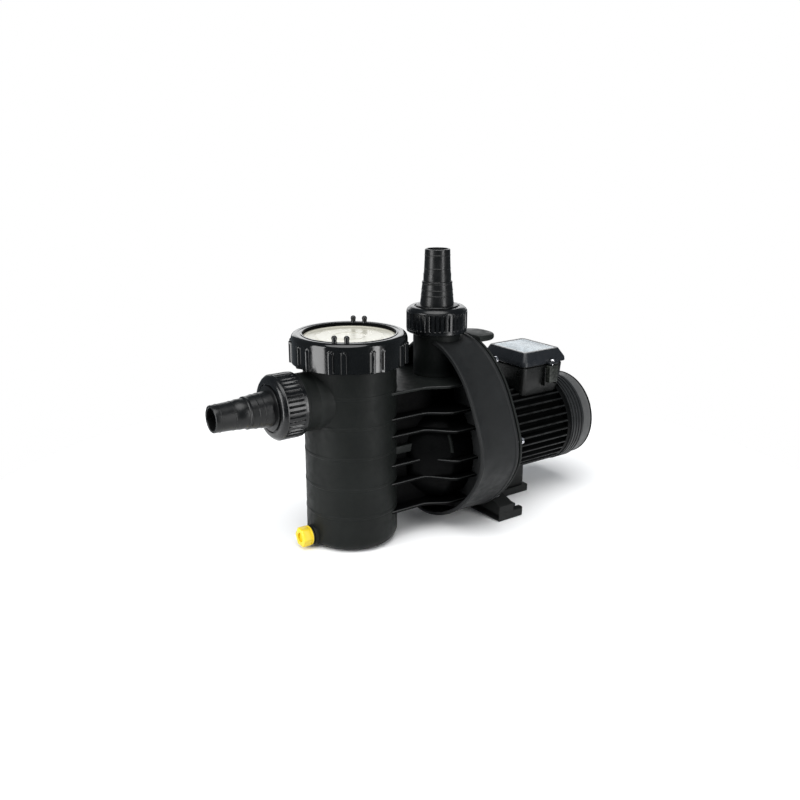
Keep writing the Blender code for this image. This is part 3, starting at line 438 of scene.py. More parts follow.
def dress(piece, finish, node, stands_for=True):
    """Finish, body and stand-in of a piece that belongs with a CAD node."""
    piece.data.materials.clear()
    piece.data.materials.append(FINISH[finish])
    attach(piece, BODY_OF[node])
    if stands_for:
        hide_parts(node)
    return piece


def paint_highlight_faces(piece, finish, is_edge):
    """Give the faces that is_edge(normal, centre) picks a finish of their own: a lighter one, a painted
    highlight where light catches them.
    """
    piece.data.materials.append(FINISH[finish])
    for face in piece.data.polygons:
        if is_edge(face.normal, face.center):
            face.material_index = 1


# ---------------------------------------------------------------- spiral outline of the drum
SPIRAL = ((0, 0.093), (30, 0.095), (55, 0.108), (75, 0.131), (90, 0.145), (102, 0.1455), (113,
    0.142), (125, 0.1365), (144, 0.1275), (156, 0.125), (168, 0.125), (180, 0.1225), (190,
    0.1165), (200, 0.1105), (214, 0.104), (240, 0.097), (270, 0.095), (315, 0.0935),)


def spiral_radius(angle):
    """Smooth radius through the SPIRAL points, the same again every 360 degrees."""
    angle = angle % 360.0
    count = len(SPIRAL)
    after = next((i for i, (a, _) in enumerate(SPIRAL) if a > angle), count)
    knots = []
    for i in range(after - 2, after + 2):
        knots.append((SPIRAL[i % count][0] + 360.0 * (i // count), SPIRAL[i % count][1]))
    (a0, r0), (a1, r1), (a2, r2), (a3, r3) = knots
    t = (angle - a1) / (a2 - a1)
    m1 = (r2 - r0) / (a2 - a0) * (a2 - a1)
    m2 = (r3 - r1) / (a3 - a1) * (a2 - a1)
    return ((2 * t**3 - 3 * t**2 + 1) * r1 + (t**3 - 2 * t**2 + t) * m1 + (3 * t**2 - 2 * t**3) * r2
        + (t**3 - t**2) * m2)


def spiral_shell(name, profile, steps=240):
    """Shell about the pump axis.  A profile point is (follow, size, x): with follow 1 the size is
    an inset from the spiral, with follow 0 it is a plain radius."""
    shape = bmesh.new()
    rows = []
    for follow, size, x in profile:
        row = []
        for k in range(steps):
            angle = 360.0 * k / steps
            radius = spiral_radius(angle) - size if follow else size
            y, z = polar(angle, radius, (0.0, AXIS_Z))
            row.append(shape.verts.new((x, y, z)))
        rows.append(row)
    for first, second in zip(rows, rows[1:] + rows[:1]):
        for k in range(steps):
            n = (k + 1) % steps
            shape.faces.new((first[k], first[n], second[n], second[k]))
    return from_bmesh(name, shape)


# ---------------------------------------------------------------- pump housing
def pot():
    edge = 0.015
    corner = [(POT_R - edge + edge * math.cos(a), edge - edge * math.sin(a))
        for a in (math.pi / 16 * i for i in range(9))]
    side = []
    for z in (0.197, 0.16, 0.122, 0.083, 0.046):
        side += [(POT_R - 0.0004, z + 0.0019), (POT_R, z + 0.0013), (POT_R, z - 0.0013), (POT_R
            - 0.0004, z - 0.0019)]
    profile = [(0.0, POT_FLOOR), (POT_BORE - 0.008, POT_FLOOR), (POT_BORE,
        POT_FLOOR + 0.008), (POT_BORE, LEDGE_Z), (MOUTH_R, LEDGE_Z), (MOUTH_R, POT_TOP), (0.0566,
        POT_TOP), *threads(0.0598, 0.0014, 0.2362, 0.2456, 0.003), (0.0574, 0.2345), (0.0574,
        0.2318), (POT_R - 0.0004, 0.2312), *side, *corner, (0.0, 0.0)]
    body = lathe("pot_shell", profile, steps=160)
    boolean(body, "DIFFERENCE", rod("pot_inlet_cut", PIPE_BORE, 0.04, 0.07, "-X", (0, 0, INLET_Z)),
        rod("pot_eye_cut", EYE_R, 0.04, 0.07, "X", AXIS),
        rod("pot_drain_cut", 0.0082, 0.04, 0.07, "-X", (0, 0, MID["drain_plug"].z), 32))
    dress(body, "casing_black", "strainer_pot")


def spigot(name, base_r, low, face, axis, at, collar_r):
    """Pipe stub with a collar and a thread; heights run outwards from the point given."""
    end = face + 0.015
    profile = [(PIPE_BORE, end), (SPIGOT_R - 0.0012, end),
        *threads(SPIGOT_R, 0.001, face + 0.0022, end - 0.001, 0.003), (SPIGOT_R - 0.0012,
        face + 0.0008), (collar_r, face), (collar_r, face - 0.003), (base_r, face - 0.0036), (base_r,
        low), (PIPE_BORE, low)]
    return lathe(name, fillet(profile, 0.0004, segments=2), axis, at, 128)


def suction_neck():
    neck = spigot("suction_neck", NECK_R - 0.0006, 0.036, -INLET_FACE - 0.0003, "-X", (0, 0, INLET_Z),
        NECK_R)
    boolean(neck, "DIFFERENCE", rod("neck_cut", POT_R - 0.0035, 0.1, 0.24, steps=128))
    dress(neck, "casing_black", "suction_neck")
    seam = lathe(
        "suction_neck_fillet", [(NECK_R - 0.0006, 0.06), (NECK_R + 0.0004, 0.053), (NECK_R + 0.0014,
        0.044), (NECK_R + 0.0014, 0.04), (NECK_R - 0.003, 0.04), (NECK_R - 0.003, 0.06)],
        "-X", (0, 0, INLET_Z), 128)
    boolean(seam, "DIFFERENCE", rod("fillet_cut", POT_R - 0.0035, 0.1, 0.24, steps=128))
    dress(seam, "casing_black", "suction_neck", False)


def drain_boss():
    z = MID["drain_plug"].z
    low = -HIGH["drain_seal"].x - 0.0003
    boss = lathe("drain_boss",
        fillet([(0.0125, low), (0.0135, 0.05), (0.0135, 0.044), (0.0082, 0.044), (0.0082, low)],
        0.0006), "-X", (0, 0, z), 64)
    boolean(boss, "DIFFERENCE", rod("boss_cut", POT_BORE + 0.003, 0.0, 0.06, steps=96))
    dress(boss, "casing_black", "strainer_pot", False)


def drum():
    """Spiral drum: a skirt round a set-back front wall, a room behind it and a lip at each edge."""
    front, rear = DRUM_FRONT, DRUM_REAR
    wall_front, wall_rear = DRUM_FACE
    profile = [(0, HUB_BORE, wall_front), (1, SKIRT_WALL + 0.003, wall_front), (1, SKIRT_WALL + 0.0008,
        wall_front - 0.0008), (1, SKIRT_WALL, wall_front - 0.003), (1, SKIRT_WALL, front + 0.001), (1,
        SKIRT_WALL - 0.0008, front), (1, 0.0014, front), (1, 0.0004, front + 0.0003), (1, 0.0,
        front + 0.0012), (1, 0.0, front + 0.0026), (1, 0.0006, front + 0.0034), (1, 0.0009,
        front + 0.0044), (1, 0.0011, front + 0.02), (1, 0.0011, rear - 0.02), (1, 0.0011,
        rear - 0.006), (1, 0.0003, rear - 0.0052), (1, 0.0, rear - 0.0044), (1, 0.0, rear - 0.002), (1,
        0.0008, rear - 0.0006), (1, 0.002, rear), (1, DRUM_WALL, rear), (1, DRUM_WALL, wall_rear), (0,
        HUB_BORE, wall_rear)]
    shell = spiral_shell("drum_shell", profile)
    boolean(shell, "DIFFERENCE", rod("drum_outlet_cut", PIPE_BORE, RISER_BORE_LOW, 0.3,
        "Z", (OUTLET_X, 0, 0)))
    dress(shell, "drum_black", "pump_casing")


def riser():
    """Pressure pipe: its front half runs down in front of the drum's front wall."""
    low, face = LOW["pressure_riser"].z, OUTLET_FACE - 0.0003
    end = face + 0.015
    profile = [(0.0, RISER_BORE_LOW), (PIPE_BORE, RISER_BORE_LOW), (PIPE_BORE, end), (SPIGOT_R - 0.0012,
        end), *threads(SPIGOT_R, 0.001, face + 0.0022, end - 0.001, 0.003), (SPIGOT_R - 0.0012,
        face + 0.0008), (RISER_R, face), (RISER_R, face - 0.0022), (RISER_R - 0.0008,
        face - 0.003), (RISER_R - 0.0008, low + 0.006), (RISER_R - 0.0006, low + 0.003), (RISER_R,
        low + 0.001), (RISER_R, low), (0.0, low)]
    pipe = lathe("riser_pipe", profile, "Z", (OUTLET_X, 0, 0), 128)
    boolean(pipe, "DIFFERENCE",
        block("riser_rear_cut", (DRUM_FACE[0] + 0.001, -0.04, 0.15), (0.2, 0.04, 0.233), 0.0))
    dress(pipe, "casing_black", "pressure_riser")


def rib_outline(reach, steps=36):
    """Plan of one side rib: straight beside the pot, then swinging out to the drum."""
    start, end = RIB_SWING
    near = [(RIB_START, RIB_NEAR)]
    near += [(start + (end - start) * i / steps, RIB_NEAR + (reach - RIB_NEAR) * smoothstep(i / steps))
        for i in range(steps + 1)]
    near.append((RIB_REAR, reach))
    return [(x, -y) for x, y in near] + [(x, y) for x, y in reversed(near)]


def web_cuts(name):
    """What is taken out of the web: the pot, the eye and the impeller's room."""
    return (rod(f"{name}_pot_cut", POT_R - 0.0035, 0.0, 0.24, steps=128),
        rod(f"{name}_eye_cut", EYE_R, 0.01, 0.13, "X", AXIS),
        rod(f"{name}_room_cut", HUB_BORE, HUB_FLOOR, 0.2, "X", AXIS, 128))


def web():
    """Ribbed web between pot and drum with the impeller's round housing."""
    end = RIB_REAR
    core = block("web_core", (0.0225, -0.034, 0.0283), (end, 0.034, 0.1952), 0.004)
    boolean(core, "DIFFERENCE", *web_cuts("core"))
    # painted shade: the web core gets the near-black painted-shade finish
    dress(core, "painted_shade_black", "rib_web")
    hub = lathe("impeller_housing",
        fillet([(HUB_R, end), (HUB_R, 0.104), (0.044, 0.062), (EYE_R, 0.062), (EYE_R,
        HUB_FLOOR), (HUB_BORE, HUB_FLOOR), (HUB_BORE, end)], 0.005, segments=5), "X", AXIS, 160)
    # painted shade: the impeller housing gets it too
    dress(hub, "painted_shade_black", "rib_web", False)
    skirt = spiral_shell(
        "skirt_room", [(1, SKIRT_WALL + 0.0003, DRUM_FRONT - 0.0004), (0, 0.2, DRUM_FRONT - 0.0004), (0,
        0.2, end + 0.01), (1, SKIRT_WALL + 0.0003, end + 0.01)], 120)
    for i, (level, reach) in enumerate(RIBS):
        rib = slab(f"side_rib_{i + 1}", [rib_outline(reach)], level - RIB_THICK / 2, level + RIB_THICK
            / 2, edge=0.0011)
        boolean(rib, "DIFFERENCE", *web_cuts("rib"))
        boolean(rib, "DIFFERENCE", skirt, keep=True)
        # painted shade on the ribs, with a painted highlight on their upper rounded edges
        dress(rib, "painted_shade_black", "rib_web", False)
        paint_highlight_faces(rib, "rib_edge_painted_highlight", lambda normal, centre: 0.2 < normal.z < 0.97)
        # the top rib is out in the light, so it keeps the casing black instead of the painted shade
        if i == 0:
            rib.data.materials[0] = FINISH["casing_black"]
    bpy.data.objects.remove(skirt, do_unlink=True)
    for side in (-1, 1):
        name = "near" if side < 0 else "far"
        pad = block(f"side_pad_{name}", (0.04, 0.03 * side, 0.112), (0.09, 0.0405 * side, 0.1222),
            0.0012)
        dress(pad, "casing_black", "rib_web", False)
        middle = 162.0 if side < 0 else 18.0
        arc = [polar(middle + a, HUB_R + 0.0018, (0.0, AXIS_Z)) for a in range(-9, 10, 3)]
        arc += [polar(middle + a, HUB_R - 0.003, (0.0, AXIS_Z)) for a in range(9, -10, -3)]
        stay = slab(f"side_stay_{name}", [arc], 0.1015, 0.1047, "YZ", 0.0007)
        dress(stay, "casing_black", "rib_web", False)


# ---------------------------------------------------------------- seal plate
def seal_plate():
    front, rear = PLATE_FRONT, PLATE_THICK_REAR
    profile = [(0, 0.0095, front), (1, 0.003, front), (1, 0.0014, front + 0.0006), (1, 0.001,
        front + 0.0014), (1, 0.001, rear - 0.0016), (1, 0.0018, rear - 0.0005), (1, 0.0036, rear), (1,
        0.012, rear), (1, 0.013, rear - 0.001), (0, 0.076, rear - 0.001), (0, 0.075, rear), (0, 0.0095,
        rear)]
    cover = spiral_shell("seal_cover", profile)
    dress(cover, "casing_black", "seal_plate")
    low, high = 0.2365, 0.244
    start, end = front + 0.001, HIGH["seal_plate"].x
    y0, y1, r = -0.0385, 0.0155, 0.022
    outline = [(start, y0)]
    outline += [polar(a, r, (end - r, y0 + r)) for a in range(-90, 1, 10)]
    outline += [polar(a, r, (end - r, y1 - r)) for a in range(0, 91, 10)]
    outline += [(start, y1)]
    tab = slab("top_tab", [outline], low, high, edge=0.0028)
    dress(tab, "casing_black", "seal_plate")
    gasket = spiral_shell(
        "gasket_ring", [(1, 0.009, DRUM_REAR + 0.0003), (1, 0.009, front - 0.0003), (1, 0.0118,
        front - 0.0003), (1, 0.0118, DRUM_REAR + 0.0003)], 180)
    dress(gasket, "rubber", "casing_gasket")


def hex_bolt(node, head_low, head_high, across):
    """Hexagon head with a rounded top, its washer and a plain shank along X."""
    centre = MID[node]
    at = (0.0, centre.y, centre.z)
    head = hexagon(f"{node}_head", across, head_high - head_low, ((head_low + head_high) / 2, centre.y,
        centre.z), 0.0004)
    dome = lathe(f"{node}_dome",
        fillet([(0.0, 0.0), (across * 0.8, 0.0), (across * 1.1, -0.0012), (across * 1.1, -0.006), (0.0,
        -0.006)], 0.0002, closed=False), "X", (head_high, centre.y, centre.z), 48)
    boolean(head, "INTERSECT", dome)
    dress(head, "zinc", node)
    ring = lathe(f"{node}_washer",
        fillet([(across * 0.98, head_low + 0.001), (across * 0.98, head_low), (0.0024,
        head_low), (0.0024, head_low + 0.001)], 0.0002), "X", at, 40)
    dress(ring, "zinc", node, False)
    shank = rod(f"{node}_shank", 0.0022, LOW[node].x, head_low + 0.001, "X", at, 24, 0.0004)
    dress(shank, "zinc", node, False)


def casing_bolts():
    for i in range(1, 7):
        node = f"casing_bolt_{i}"
        hex_bolt(node, PLATE_THICK_REAR + 0.0003, HIGH[node].x, BOLT_R)


# ---------------------------------------------------------------- lid and strainer
def ring_rib(turn, radius, height):
    """Extra radius of the ring nut's grip ribs: straight flanks and a round top."""
    if radius < RING_R - 0.0004 or height > 0.26:
        return radius
    away = min(abs((turn - centre + 180.0) % 360.0 - 180.0) for centre in GRIP_CENTRES)
    across = math.radians(away) * RING_R
    half, top = 0.0034, 0.2575
    beyond = max(height - (top - half), 0.0)
    distance = math.hypot(across, beyond)
    return radius + GRIP_DEPTH * smoothstep((half - distance) / 0.0014 + 0.15)


def lid_ring():
    edge = 0.0062
    corner = [(RING_R - edge + edge * math.sin(a), RING_TOP - edge + edge * math.cos(a))
        for a in (math.pi / 16 * i for i in range(9))]
    wall = [(RING_R, z) for z in (0.2588, 0.2581, 0.2575, 0.2568, 0.256, 0.2552, 0.2544, 0.2534, 0.2515,
        0.245, 0.238, 0.232)]
    profile = [(LIP_R + 0.0006, 0.2648), (LIP_R + 0.001, 0.2655), (LIP_R + 0.0016, RING_TOP), (LIP_R
        + 0.0024, RING_TOP), (LIP_R + 0.0032, RING_TOP - 0.0007), (LIP_R + 0.0056,
        RING_TOP - 0.0007), (LIP_R + 0.0062, RING_TOP - 0.0002), *corner,
        *wall, (RING_R, RING_LOW + 0.0006), (RING_R - 0.0008, RING_LOW), (0.0616, RING_LOW), (0.0606,
        RING_LOW + 0.001), (0.0606, 0.2615), (LIP_R + 0.001, 0.2615), (LIP_R + 0.0006, 0.2619)]
    nut = lathe("lid_ring_body", profile, steps=720, shape_radius=ring_rib)
    dress(nut, "gloss_black", "lid_ring")
    lip = lathe(
        "lid_ring_lip", [(LIP_R, 0.2648), (LIP_R + 0.0007, 0.2652), (LIP_R + 0.0007, 0.2615), (LIP_R,
        0.2615)], steps=240)
    # painted shade: the inner wall of the ring nut's recess gets the near-black painted-shade finish,
    # darker than the ring's gloss black
    dress(lip, "painted_shade_black", "lid_ring", False)
    for k, centre in enumerate(PEG_PAIRS):
        for side in (-PEG_SPREAD, PEG_SPREAD):
            x, y = polar(centre + side, LIP_R + 0.0034)
            top = PEG_TOP
            peg = lathe(
                f"lid_peg_{k + 1}_{'a' if side < 0 else 'b'}", [(0.0, top), (0.0014,
                top - 0.0002), (0.0025, top - 0.0009), (0.0032, top - 0.0022), (0.0033,
                top - 0.0036), (0.0028, RING_TOP + 0.002), (0.003, RING_TOP + 0.0002), (0.0036,
                RING_TOP - 0.001), (0.0, RING_TOP - 0.001)], "Z", (x, y, 0.0), 32)
            dress(peg, "gloss_black", "lid_ring", False)


def clear_lid():
    top = HIGH["clear_lid"].z
    low = LOW["clear_lid"].z
    profile = [(0.0, top - 0.0006), (0.018, top - 0.0006), (0.019, top - 0.0002), (0.02,
        top - 0.0002), (0.021, top - 0.0006), (0.0395, top - 0.0006), (0.0405, top - 0.0002), (0.0415,
        top - 0.0002), (0.0425, top - 0.0006), (0.052, top - 0.0006), (0.053, top), (0.06, top), (0.06,
        low), (0.0515, low), (0.05, top - 0.004), (0.0, top - 0.004)]
    lid = lathe("lid_window", fillet(profile, 0.0005, closed=False), steps=128)
    dress(lid, "lid_clear", "clear_lid")


def o_ring(name, node, radius, section, axis, at):
    height = 0.0
    around = [TAU * i / 16 for i in range(16)]
    profile = [(radius + section * math.cos(a), height - section * math.sin(a)) for a in around]
    ring = lathe(name, profile, axis, at, 96)
    dress(ring, "rubber", node)


def basket():
    """Strainer basket: rim, perforated wall, slotted floor, hole to the suction pipe and handle bar."""
    low, rim_top = LOW["strainer_basket"].z, HIGH["strainer_basket"].z
    rim, wall_top, wall_low, thick = 0.0516, 0.0478, 0.042, 0.002
    profile = [(0.0, low + thick), (wall_low - thick, low + thick), (wall_top - thick, rim_top), (rim,
        rim_top), (rim, LEDGE_Z + 0.0003), (wall_top, LEDGE_Z + 0.0003), (wall_low, low), (0.0, low)]
    body = lathe("basket_shell", fillet(profile, 0.0006, closed=False), steps=120)
    boolean(body, "DIFFERENCE", rod("basket_mouth_cut", PIPE_BORE, 0.02, 0.07, "-X", (0, 0, INLET_Z),
        48))
    columns, rows = 24, 5
    slots = [((0.12, 0.004, 0.014), (0, 0, 0.064 + row * 0.02 + 0.007),
        math.radians(360.0 * (column + (0.5 if row % 2 else 0.0)) / columns)) for row in range(rows)
        for column in range(columns // 2)]
    boolean(body, "DIFFERENCE", slot_cutter("basket_slots", slots, "Z"), crossing=True)
    dress(body, "cream_plastic", "strainer_basket")
    bar = slab(
        "basket_handle", [[(-0.047, 0.229), (-0.04, 0.2275), (0.04, 0.2275), (0.047, 0.229), (0.047,
        0.2335), (0.018, 0.2345), (-0.018, 0.2345), (-0.047, 0.2335)]], -0.0035, 0.0035, "XZ", 0.001)
    dress(bar, "cream_plastic", "strainer_basket", False)


# ---------------------------------------------------------------- pipe unions
def knurl(turn, radius, height):
    """Grip ribs round a union nut: narrow rounded grooves between broad ribs."""
    ribs, depth = 40, 0.0015
    if radius < 0.037 or height < 0.005 or height > 0.0262:
        return radius
    phase = (turn * ribs / 360.0) % 1.0
    groove = smoothstep(1.0 - abs(phase - 0.5) / 0.26)
    ends = smoothstep((height - 0.005) / 0.001) * smoothstep((0.0262 - height) / 0.001)
    return radius - depth * groove * ends


def pipe_union(prefix, axis, at):
    node = f"{prefix}_union_nut"
    r, length = 0.039, 0.0325
    wall = [(r, z) for z in (0.0262, 0.0256, 0.025, 0.02, 0.012, 0.0062, 0.0056, 0.005)]
    profile = [(0.0272, length - 0.0012), (0.0286, length - 0.0012), (0.029, length), (0.0335,
        length), (0.0352, length - 0.001), (0.0378, length - 0.0036), (r - 0.0006, length - 0.005), (r
        - 0.0006, 0.0272), (r, 0.0268), *wall, (r, 0.0044), (r - 0.0003, 0.004), (r - 0.0003,
        0.0012), (r - 0.0012, 0.0003), (0.0345, 0.0003), (0.0333, 0.0014), (0.0333, 0.023), (0.0272,
        0.023)]
    nut = lathe(f"{prefix}_nut_body", profile, axis, at, 480, knurl)
    dress(nut, "nut_black", node)
    o_ring(f"{prefix}_seal_ring", f"{prefix}_o_ring", 0.0268, 0.0016, axis,
        tuple(Vector(at) + Vector({"Z": (0, 0, 0.0169), "-X": (-0.0169, 0, 0)}[axis])))
    hose_tail(prefix, axis, at)


def hose_tail(prefix, axis, at):
    """Two-step hose tail: fine rings near the tip, a collar at each step and a flange in the nut."""
    tip_r, length, bore = 0.016, 0.1045, 0.013
    step = length - 0.04

    def ring(middle, radius, proud=0.00035, half=0.0008):
        return [(radius, middle + half), (radius + proud, middle + half * 0.5), (radius + proud,
            middle - half * 0.5), (radius, middle - half)]

    outer = [(bore + 0.0006, length), (tip_r - 0.0007, length), (tip_r - 0.0002,
        length - 0.0004), (tip_r, length - 0.0011), *ring(length - 0.0075, 0.0161),
        *ring(length - 0.024, 0.0167), (0.0172, step + 0.01), (0.0176, step + 0.0092), (0.0176,
        step + 0.0003), (0.0186, step), (0.0192, step - 0.0006), (0.0193, step - 0.003), (0.019,
        step - 0.0036), *ring(step - 0.011, 0.0198),
        *ring(step - 0.018, 0.0204), (0.0214, 0.0375), (0.0215, 0.0345), (0.0262, 0.034), (0.0268,
        0.0334), (0.0268, 0.0227), (0.0324, 0.0227), (0.0328, 0.0223), (0.0328, 0.0192), (0.0324,
        0.0188)]
    inner = [(bore + 0.003, 0.0188), (bore, 0.06), (bore, length - 0.0006)]
    tail = lathe(f"{prefix}_tail_body", outer + inner, axis, at, 128)
    dress(tail, "satin_black", f"{prefix}_hose_tail")


# ---------------------------------------------------------------- drain plug
def drain():
    z = MID["drain_plug"].z
    outer, low = -LOW["drain_plug"].x, -LOW["drain_seal"].x + 0.0002
    middle = -(outer + low + 0.0018) / 2
    head = hexagon("plug_head", 0.013, outer - low - 0.0018, (middle, 0, z), 0.0012, 3)
    boolean(head, "DIFFERENCE", rod("plug_recess", 0.0062, outer - 0.003, outer + 0.01, "-X", (0, 0, z),
        48))
    dress(head, "yellow_plastic", "drain_plug")
    flange = lathe("plug_flange",
        fillet([(0.0124, low + 0.0022), (0.0124, low + 0.0002), (0.007, low + 0.0002), (0.007,
        low + 0.0022)], 0.0005), "-X", (0, 0, z), 64)
    dress(flange, "yellow_plastic", "drain_plug", False)
    end = -HIGH["drain_plug"].x
    shank = lathe("plug_shank", [(0.0, low + 0.002), (0.0068, low + 0.002),
        *threads(0.0076, 0.0008, end + 0.001, low + 0.0008, 0.002), (0.0064, end), (0.0, end)],
        "-X", (0, 0, z), 64)
    dress(shank, "yellow_plastic", "drain_plug", False)
    ring = lathe("drain_washer",
        fillet([(0.0108, low - 0.0003), (0.0108, low - 0.0021), (0.008, low - 0.0021), (0.008,
        low - 0.0003)], 0.0005), "-X", (0, 0, z), 64)
    dress(ring, "rubber", "drain_seal")


# ---------------------------------------------------------------- motor
def barrel():
    """Finned barrel: thin rounded fins standing on a drum."""
    pitch = 360.0 / FIN_COUNT
    flank = ((-0.5, FIN_ROOT - 0.0008), (-0.32, FIN_ROOT), (-0.21, FIN_ROOT + 0.0012), (-0.115,
        FIN_TIP - 0.0007), (-0.075, FIN_TIP), (0.075, FIN_TIP), (0.115, FIN_TIP - 0.0007), (0.21,
        FIN_ROOT + 0.0012), (0.32, FIN_ROOT))
    outline = [polar(pitch * (i + shift), radius, (0.0, AXIS_Z)) for i in range(FIN_COUNT) for shift,
        radius in flank]
    hole = [polar(3.0 * k, 0.05, (0.0, AXIS_Z)) for k in range(120)]
    body = slab("finned_barrel", [outline, hole], *BARREL, "YZ", 0.0003)
    dress(body, "motor_black", "motor_frame")
    # painted highlight: the fin tips get a lighter finish
    paint_highlight_faces(body, "fin_tip_painted_highlight", lambda normal,
        centre: math.hypot(centre.y, centre.z - AXIS_Z) > FIN_TIP - 0.0004 and abs(normal.x) < 0.5)


def end_shields():
    x0 = LOW["front_shield"].x
    front = lathe("drive_end_shield",
        fillet([(0.06, 0.205), (0.072, 0.19), (0.072, x0), (0.011, x0), (0.011, 0.1858), (0.0178,
        0.1858), (0.0178, 0.197), (0.023, 0.197), (0.023, 0.19), (0.056, 0.19), (0.056, 0.205)],
        0.0012), "X", AXIS, 144)
    dress(front, "motor_black", "front_shield")
    rear = lathe("fan_end_shield",
        fillet([(0.06, 0.332), (0.06, 0.3251), (0.0615, 0.3247), (0.0615, 0.3183), (0.048,
        0.3183), (0.048, 0.323), (0.023, 0.323), (0.023, 0.3195), (0.0178, 0.3195), (0.0178,
        0.331), (0.0095, 0.331), (0.0095, 0.3345), (0.025, 0.3345)], 0.0006), "X", AXIS, 144)
    dress(rear, "motor_black", "rear_shield")


def cowl():
    """Fan cowl: a ridged ring, a smooth lighter band and an end cap with slots for the air."""
    start, end = LOW["fan_cowl"].x, HIGH["fan_cowl"].x
    r, band, cap = (HIGH["fan_cowl"].z - LOW["fan_cowl"].z) / 2, 0.35, 0.365
    ridges = []
    for i in range(4):
        x = 0.3482 - i * 0.0053
        ridges += [(r, x), (r, x - 0.003), (r - 0.0015, x - 0.0036), (r - 0.0015, x - 0.0047)]
    shell = lathe("cowl_shell", [(0.059, band), (0.061, band), (r - 0.0006, 0.3492),
        *ridges, (r, 0.3266), (r, start + 0.0004), (r - 0.0006, start), (0.0606, start), (0.0606,
        0.3465), (0.059, 0.349)], "X", AXIS, 144)
    dress(shell, "cowl_grey", "fan_cowl")
    ring = lathe(
        "cowl_band", [(0.0598, cap), (0.0601, 0.36), (0.0603, 0.352), (0.0605, band + 0.0001), (0.058,
        band + 0.0001), (0.0575, cap)], "X", AXIS, 144)
    dress(ring, "cowl_band_grey", "fan_cowl", False)
    profile = [(0.0, end - 0.0006), (0.044, end - 0.0006), (0.045, end), (0.0475, end), (0.053,
        end - 0.0014), (0.057, end - 0.0038), (0.06, end - 0.0064), (0.0606, end - 0.0076), (0.0606,
        cap + 0.0001), (0.0575, cap + 0.0001), (0.054, end - 0.0045), (0.046, end - 0.0024), (0.0,
        end - 0.0024)]
    body = lathe("cowl_cap", profile, "X", AXIS, 144)
    slots = [((0.02, TAU * radius / count * 0.7, 0.0034), (end, 0.0, radius), TAU * k / count)
        for radius, count in ((0.014, 6), (0.023, 12), (0.032, 18), (0.0405, 24)) for k in range(count)]
    boolean(body, "DIFFERENCE", slot_cutter("cowl_slots", slots, "X", AXIS))
    dress(body, "motor_black", "fan_cowl", False)


def fan():
    hub = lathe("fan_hub",
        fillet([(0.011, 0.36), (0.011, 0.348), (0.022, 0.344), (0.022, 0.342), (0.0061, 0.342), (0.0061,
        0.36)], 0.0006), "X", AXIS, 64)
    dress(hub, "satin_black", "cooling_fan")
    for i in range(5):
        blade = block(f"fan_blade_{i + 1}", (0.3402, 0.01, -0.001), (0.3598, 0.0518, 0.001), 0.0006)
        blade.data.transform(Matrix.Translation(AXIS) @ Matrix.Rotation(TAU / 5 * i, 4, "X"))
        dress(blade, "satin_black", "cooling_fan", False)


# ---------------------------------------------------------------- terminal box
def lofted(name, sections):
    """Body through rounded rectangles (x0, x1, half width, corner radius, height), low to high."""
    shape = bmesh.new()
    rows = [[shape.verts.new((x, y, z)) for x, y in rounded_rectangle(x0, x1, half, r)] for x0, x1,
        half, r, z in sections]
    for low, high in zip(rows, rows[1:]):
        for k in range(len(low)):
            n = (k + 1) % len(low)
            shape.faces.new((low[k], low[n], high[n], high[k]))
    shape.faces.new(rows[0])
    shape.faces.new(rows[-1])
    return from_bmesh(name, shape)


def box_base():
    x0, x1, half = 0.247, 0.323, 0.043
    top = BOX_JOINT - 0.0015
    base = lofted("box_base_shell", [(x0 + 0.005, x1 - 0.008, half - 0.006, 0.006, 0.15), (x0 + 0.004,
        x1 - 0.007, half - 0.005, 0.007, 0.1512), (x0 + 0.0015, x1 - 0.002, half - 0.0018, 0.007,
        0.176), (x0 + 0.001, x1 - 0.001, half - 0.001, 0.007, top - 0.0008), (x0 + 0.0018, x1 - 0.0018,
        half - 0.0018, 0.006, top)])
    boolean(base, "DIFFERENCE", block("base_room", (x0 + 0.008, -0.033, 0.164), (x1 - 0.01, 0.033, 0.2),
        0.0), rod("base_saddle", FIN_TIP + 0.0006, 0.2, 0.35, "X", AXIS, 96),
        rod("base_wires", 0.008, 0.15, 0.17, "Z", (0.262, 0, 0), 32))
    dress(base, "box_base_black", "terminal_box_base")
    for i, ((x, y), side) in enumerate(zip(SCREW_AT, SCREW_SIDES)):
        lug = block(f"box_lug_{i + 1}", (x - 0.008, y - side * 0.01, 0.1665), (x + 0.008,
            y + side * 0.0042, top), 0.0018)
        boolean(lug, "DIFFERENCE", rod(f"lug_hole_{i}", 0.0019, 0.178, 0.2, "Z", (x, y, 0), 24))
        dress(lug, "lug_worn", "terminal_box_base", False)
        for k in (-1, 1):
            web_rib = block(f"lug_rib_{i + 1}_{'a' if k < 0 else 'b'}", (x + k * 0.0105 - 0.001,
                y - side * 0.01, 0.162), (x + k * 0.0105 + 0.001, y - side * 0.001, top - 0.003),
                0.0006)
            dress(web_rib, "box_base_black", "terminal_box_base", False)
    y, z = MID["cable_gland"].y, MID["cable_gland"].z
    pad = block("gland_seat", (x1 - 0.01, y - 0.01, z - 0.011), (x1 + 0.0005, y + 0.01, top - 0.0006),
        0.0012)
    boolean(pad, "DIFFERENCE", rod("gland_way", 0.0063, 0.3, 0.34, "X", (0, y, z), 32))
    dress(pad, "box_base_black", "terminal_box_base", False)
    gasket = slab("box_seal", [rounded_rectangle(x0 + 0.003, x1 - 0.003, half - 0.003, 0.003),
        rounded_rectangle(x0 + 0.006, x1 - 0.006, half - 0.006, 0.002)], BOX_JOINT - 0.0012,
        BOX_JOINT + 0.0003, edge=0.0002)
    dress(gasket, "rubber", "box_gasket")


